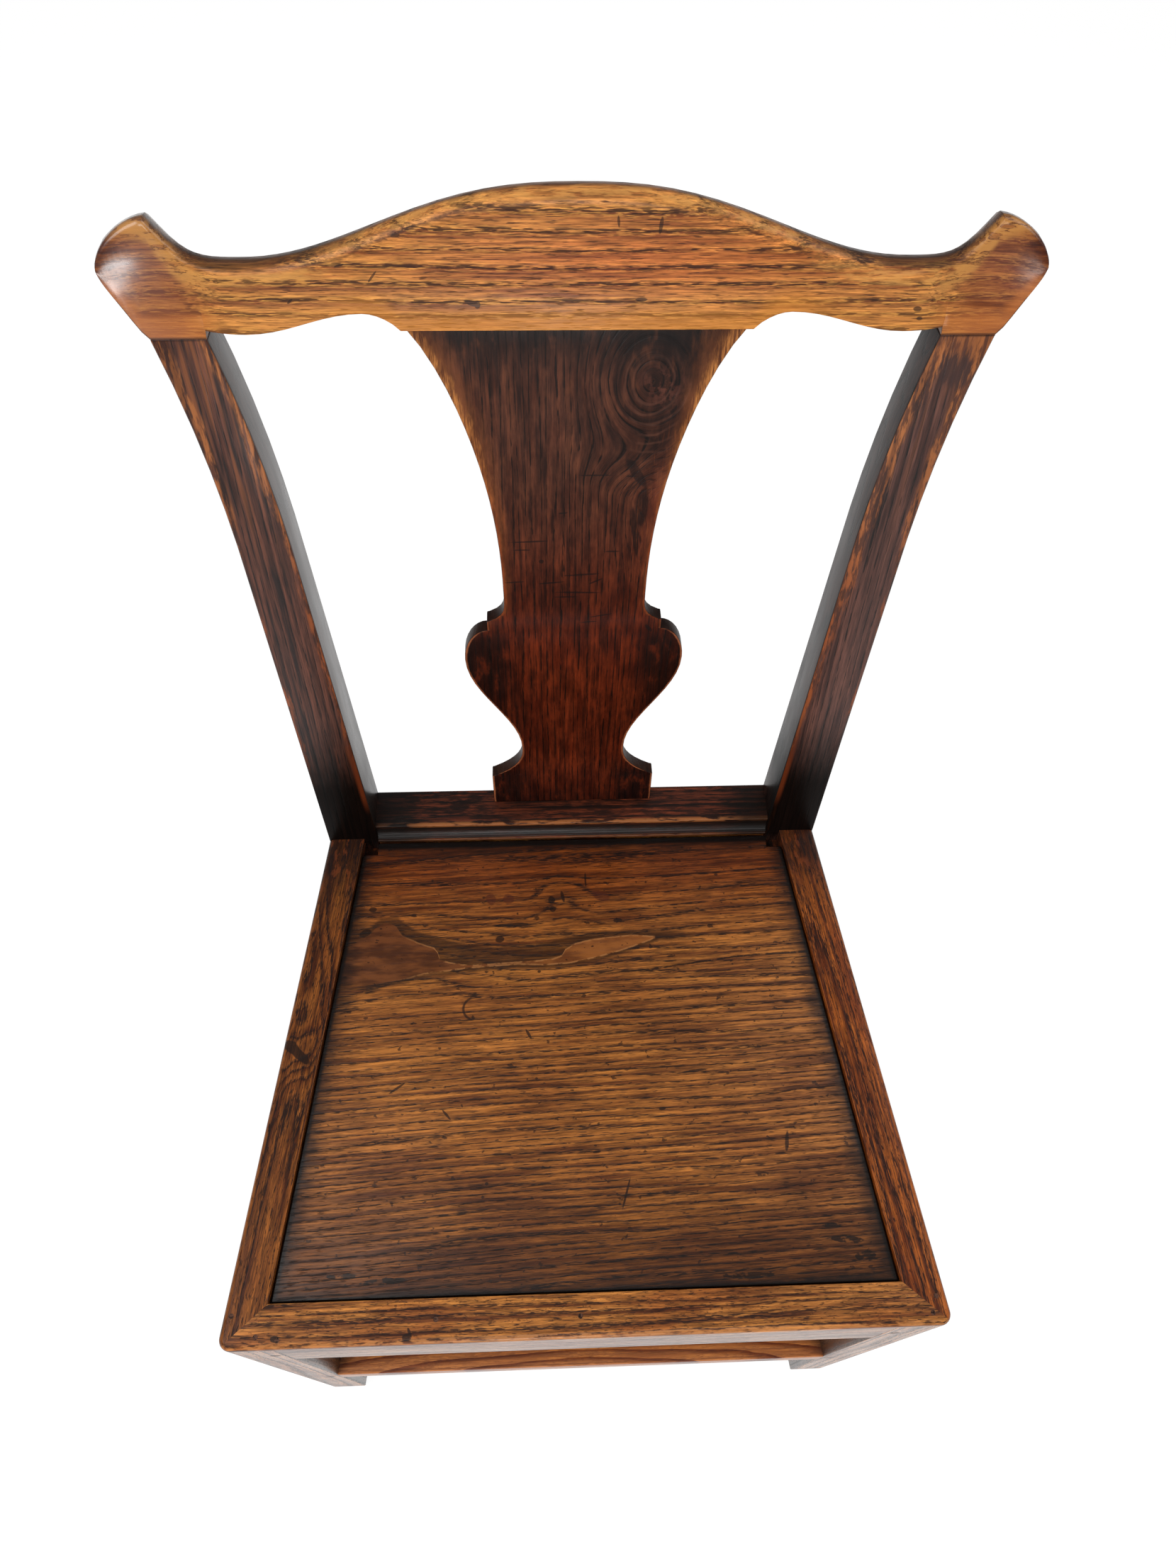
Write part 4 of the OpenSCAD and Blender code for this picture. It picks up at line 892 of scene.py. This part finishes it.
def nail_finish():
    """Rusted iron of the rim nails, rubbed bright in spots."""
    f = Finish("nail_iron")
    rust = f.noise(f.mm(), (1.6, 1.6, 1.6), 2.0, 4.0, 0.7)
    f.colour = f.mix(f.rise(rust, 0.35, 0.65), tone(30, 22, 18), tone(92, 52, 30))
    rough = f.slope(rust, 0.3, 0.7, 0.35, 0.8)
    metal = f.rise(rust, 0.35, 0.6, 0.9, 0.1)
    return f.done(rough, rust, level=0.5, metal=metal, bump=0.5, depth=0.2 * MM)


def floor_finish():
    """White floor that keeps a soft shadow. It shows white to the camera and in the wood's gloss."""
    f = Finish("white_floor")
    seen = f.most(f.most(f.ray("Camera"), f.ray("Glossy")), f.ray("Transmission"))
    matt = f.add("ShaderNodeBsdfDiffuse", None, {"Color": (0.8, 0.8, 0.79)})
    glow = f.add("ShaderNodeEmission", None, {"Color": (1.0, 1.0, 1.0), "Strength": 1.12})
    return f.show(f.add("ShaderNodeMixShader", None, {0: seen * 0.8, 1: matt, 2: glow}))


# Operators

class ChairOperator:
    """What the chair's operators share."""
    bl_options = {"REGISTER", "UNDO"}

    def dress(self, nodes, slot, finish, least=None, radius=None, body="frame", smooth=40):
        """Gives each node a copy in the finish. Sharp edges at least `least` mm long get the radius."""
        wear = bpy.context.scene.chair_wear
        for node in nodes:
            piece = copy_of(node)
            if least:
                wear_edges(piece, radius or wear.arris, wear.segments, least)
            settle(piece, node, body, finish, smooth)
        return {"FINISHED"}


class CHAIR_OT_crest_rail(ChairOperator, bpy.types.Operator):
    """Dress the shaped crest rail that joins the posts at the top"""
    bl_idname = "chair.crest_rail"
    bl_label = "Crest Rail"

    def execute(self, context):
        finish = crest_finish(context.scene.chair_woods)
        return self.dress(("crest_rail",), "golden_wood", finish, smooth=50)


class CHAIR_OT_back_posts(ChairOperator, bpy.types.Operator):
    """Dress the two back posts, rear leg and back in one piece each"""
    bl_idname = "chair.back_posts"
    bl_label = "Back Posts"

    def execute(self, context):
        finish = post_finish(context.scene.chair_woods)
        return self.dress(("left_back_post", "right_back_post"), "dark_wood", finish, 6.0)


class CHAIR_OT_splat(ChairOperator, bpy.types.Operator):
    """Dress the vase-shaped splat in the middle of the back"""
    bl_idname = "chair.splat"
    bl_label = "Splat"

    def execute(self, context):
        finish = splat_finish(context.scene.chair_woods)
        return self.dress(("splat",), "dark_wood", finish, 1.2, 1.0 * MM)


class CHAIR_OT_shoe(ChairOperator, bpy.types.Operator):
    """Dress the moulded shoe that holds the splat's foot"""
    bl_idname = "chair.shoe"
    bl_label = "Shoe"

    def execute(self, context):
        finish = shoe_finish(context.scene.chair_woods)
        return self.dress(("shoe",), "dark_wood", finish, 60.0, 0.5 * MM)


class CHAIR_OT_seat_rails(ChairOperator, bpy.types.Operator):
    """Dress the four seat rails with their raised rims"""
    bl_idname = "chair.seat_rails"
    bl_label = "Seat Rails"

    def execute(self, context):
        woods = context.scene.chair_woods
        across = rail_finish(woods, "front_rail_wood", "across", 61.0, RIM_PITS)
        side = rail_finish(woods, "side_rail_wood", "side", 63.0)
        self.dress(("front_seat_rail", "rear_seat_rail"), "rail_wood", across, 60.0, 0.8 * MM)
        return self.dress(("left_seat_rail", "right_seat_rail"), "rail_wood", side, 60.0, 0.8 * MM)


class CHAIR_OT_front_legs(ChairOperator, bpy.types.Operator):
    """Dress the two square front legs"""
    bl_idname = "chair.front_legs"
    bl_label = "Front Legs"

    def execute(self, context):
        finish = rail_finish(context.scene.chair_woods, "leg_wood", "up", 65.0)
        return self.dress(("left_front_leg", "right_front_leg"), "rail_wood", finish, 30.0, 1.0 * MM)


class CHAIR_OT_seat_board(ChairOperator, bpy.types.Operator):
    """Dress the loose seat board"""
    bl_idname = "chair.seat_board"
    bl_label = "Seat Board"

    def execute(self, context):
        finish = board_finish(context.scene.chair_woods)
        return self.dress(("seat_board",), "seat_wood", finish, 5.0, 1.0 * MM, body="seat")


class CHAIR_OT_stretchers(ChairOperator, bpy.types.Operator):
    """Dress the four stretchers between the legs"""
    bl_idname = "chair.stretchers"
    bl_label = "Stretchers"

    def execute(self, context):
        woods = context.scene.chair_woods
        across = rail_finish(woods, "cross_stretcher_wood", "across", 67.0)
        side = rail_finish(woods, "side_stretcher_wood", "side", 69.0)
        self.dress(("front_stretcher", "rear_stretcher"), "rail_wood", across, 60.0, 1.2 * MM)
        return self.dress(("left_stretcher", "right_stretcher"), "rail_wood", side, 60.0, 1.2 * MM)


class CHAIR_OT_glue_blocks(ChairOperator, bpy.types.Operator):
    """Dress the corner blocks and the bearer under the seat board"""
    bl_idname = "chair.glue_blocks"
    bl_label = "Glue Blocks"

    def execute(self, context):
        nodes = ("front_left_block", "front_right_block", "rear_left_block", "rear_right_block",
                 "seat_bearer")
        return self.dress(nodes, "bare_wood", bare_finish(context.scene.chair_woods), 10.0, 0.6 * MM)


class CHAIR_OT_pegs(ChairOperator, bpy.types.Operator):
    """Dress the pegs that lock the tenons"""
    bl_idname = "chair.pegs"
    bl_label = "Pegs"

    def execute(self, context):
        return self.dress(("rail_pegs", "stretcher_pegs"), "peg_wood", peg_finish())


class CHAIR_OT_rim_nails(ChairOperator, bpy.types.Operator):
    """Dress the small nails in the seat's rims"""
    bl_idname = "chair.rim_nails"
    bl_label = "Rim Nails"

    def execute(self, context):
        return self.dress(("rim_nails",), "nail_iron", nail_finish())


# Lamps as (name, place, size), the point they face, and the fill lamp's share of the main lamp's power.
LAMPS = (("window", (-0.06, -1.31, 0.49), (0.32, 0.08)), ("front_lamp", (0.1, -1.6, 2.3), (0.9, 0.7)),
         ("main_lamp", (-1.3, -0.6, 2.6), (1.4, 1.4)), ("fill_lamp", (1.5, 0.5, 2.2), (1.2, 1.2)))
LAMP_AIM = (0.0, 0.1, 0.7)
FILL_SHARE = 0.4

# Place of the camera, and its pitch, yaw and roll in radians, worked out from the photograph.
CAMERA_PLACE = (-22.5 * MM, -313.26 * MM, 1314.1 * MM)
CAMERA_TURN = (1.04976210, -0.0733098848, -0.0439049452)


class CHAIR_OT_stage(bpy.types.Operator):
    """Set the white floor, the soft light and the camera"""
    bl_idname = "chair.stage"
    bl_label = "Stage"
    bl_options = {"REGISTER", "UNDO"}

    def execute(self, context):
        stage = context.scene.chair_stage
        bpy.ops.object.select_all(action="DESELECT")
        bpy.ops.mesh.primitive_plane_add(size=stage.floor_size, location=(0, 0, 0))
        floor = bpy.context.active_object
        floor.name = "white_floor"
        floor.data.materials.append(floor_finish())
        self.light(context, stage)
        self.camera(context, stage)
        return {"FINISHED"}

    def light(self, context, stage):
        """Even white daylight, weaker in reflections and plain white to the camera, and four lamps."""
        f = Finish("soft_daylight", world=True)
        day, mirrored, plain = (
            f.add("ShaderNodeBackground", None, {"Color": (1.0, 1.0, 1.0), "Strength": level})
            for level in (stage.daylight, stage.mirrored, 1.0))
        sky = f.add("ShaderNodeMixShader", None, {0: f.ray("Glossy"), 1: day, 2: mirrored})
        seen = f.most(f.ray("Camera"), f.ray("Transmission"))
        sky = f.add("ShaderNodeMixShader", None, {0: seen, 1: sky, 2: plain})
        context.scene.world = f.show(sky, "World")
        watts = {"window": stage.window_watts, "front_lamp": stage.front_watts,
                 "main_lamp": stage.key_watts, "fill_lamp": stage.key_watts * FILL_SHARE}
        for name, place, size in LAMPS:
            bpy.ops.object.light_add(type="AREA", location=place)
            lamp = bpy.context.active_object
            lamp.name = name
            lamp.data.shape = "RECTANGLE"
            lamp.data.size, lamp.data.size_y = size
            lamp.data.energy = watts[name]
            aim = Vector(LAMP_AIM) - Vector(place)
            lamp.rotation_euler = aim.to_track_quat("-Z", "Y").to_euler()

    def camera(self, context, stage):
        """The camera where the photograph was taken: above the front of the seat, looking down."""
        pitch, yaw, roll = CAMERA_TURN
        forward = Vector((0.0, math.cos(pitch), -math.sin(pitch)))
        down = Vector((0.0, -math.sin(pitch), -math.cos(pitch)))
        right = Vector((1.0, 0.0, 0.0))
        swing = Matrix.Rotation(yaw, 3, "Z")
        forward, down, right = swing @ forward, swing @ down, swing @ right
        right, down = (math.cos(roll) * right + math.sin(roll) * down,
                       math.cos(roll) * down - math.sin(roll) * right)
        bpy.ops.object.camera_add(location=CAMERA_PLACE)
        camera = bpy.context.active_object
        camera.name = "photo_camera"
        camera.data.sensor_width = 36.0
        camera.data.lens = stage.lens
        camera.data.clip_start = 0.05
        camera.data.clip_end = 50.0
        turn = Matrix((right, -down, -forward)).transposed()
        camera.rotation_euler = turn.to_euler()
        context.scene.camera = camera
        context.scene.view_settings.view_transform = "Standard"


PIECES = (CHAIR_OT_crest_rail, CHAIR_OT_back_posts, CHAIR_OT_splat, CHAIR_OT_shoe, CHAIR_OT_seat_rails,
          CHAIR_OT_front_legs, CHAIR_OT_seat_board, CHAIR_OT_stretchers, CHAIR_OT_glue_blocks,
          CHAIR_OT_pegs, CHAIR_OT_rim_nails, CHAIR_OT_stage)


class CHAIR_PT_panel(bpy.types.Panel):
    """Lists the chair's pieces"""
    bl_idname = "CHAIR_PT_panel"
    bl_label = "Old Dining Chair"
    bl_space_type = "VIEW_3D"
    bl_region_type = "UI"
    bl_category = "Chair"

    def draw(self, context):
        layout = self.layout
        for group in (context.scene.chair_woods, context.scene.chair_wear, context.scene.chair_stage):
            box = layout.box()
            for key in group.__annotations__:
                box.prop(group, key)
        for operator in PIECES:
            layout.operator(operator.bl_idname)


CLASSES = (ChairWoods, ChairWear, ChairStage, *PIECES, CHAIR_PT_panel)


def register():
    for made in CLASSES:
        bpy.utils.register_class(made)
    bpy.types.Scene.chair_woods = PointerProperty(type=ChairWoods)
    bpy.types.Scene.chair_wear = PointerProperty(type=ChairWear)
    bpy.types.Scene.chair_stage = PointerProperty(type=ChairStage)


def unregister():
    for key in ("chair_woods", "chair_wear", "chair_stage"):
        delattr(bpy.types.Scene, key)
    for made in reversed(CLASSES):
        bpy.utils.unregister_class(made)


def main():
    register()
    for operator in PIECES:
        getattr(bpy.ops.chair, operator.bl_idname.split(".")[1])()


if __name__ == "__main__":
    main()
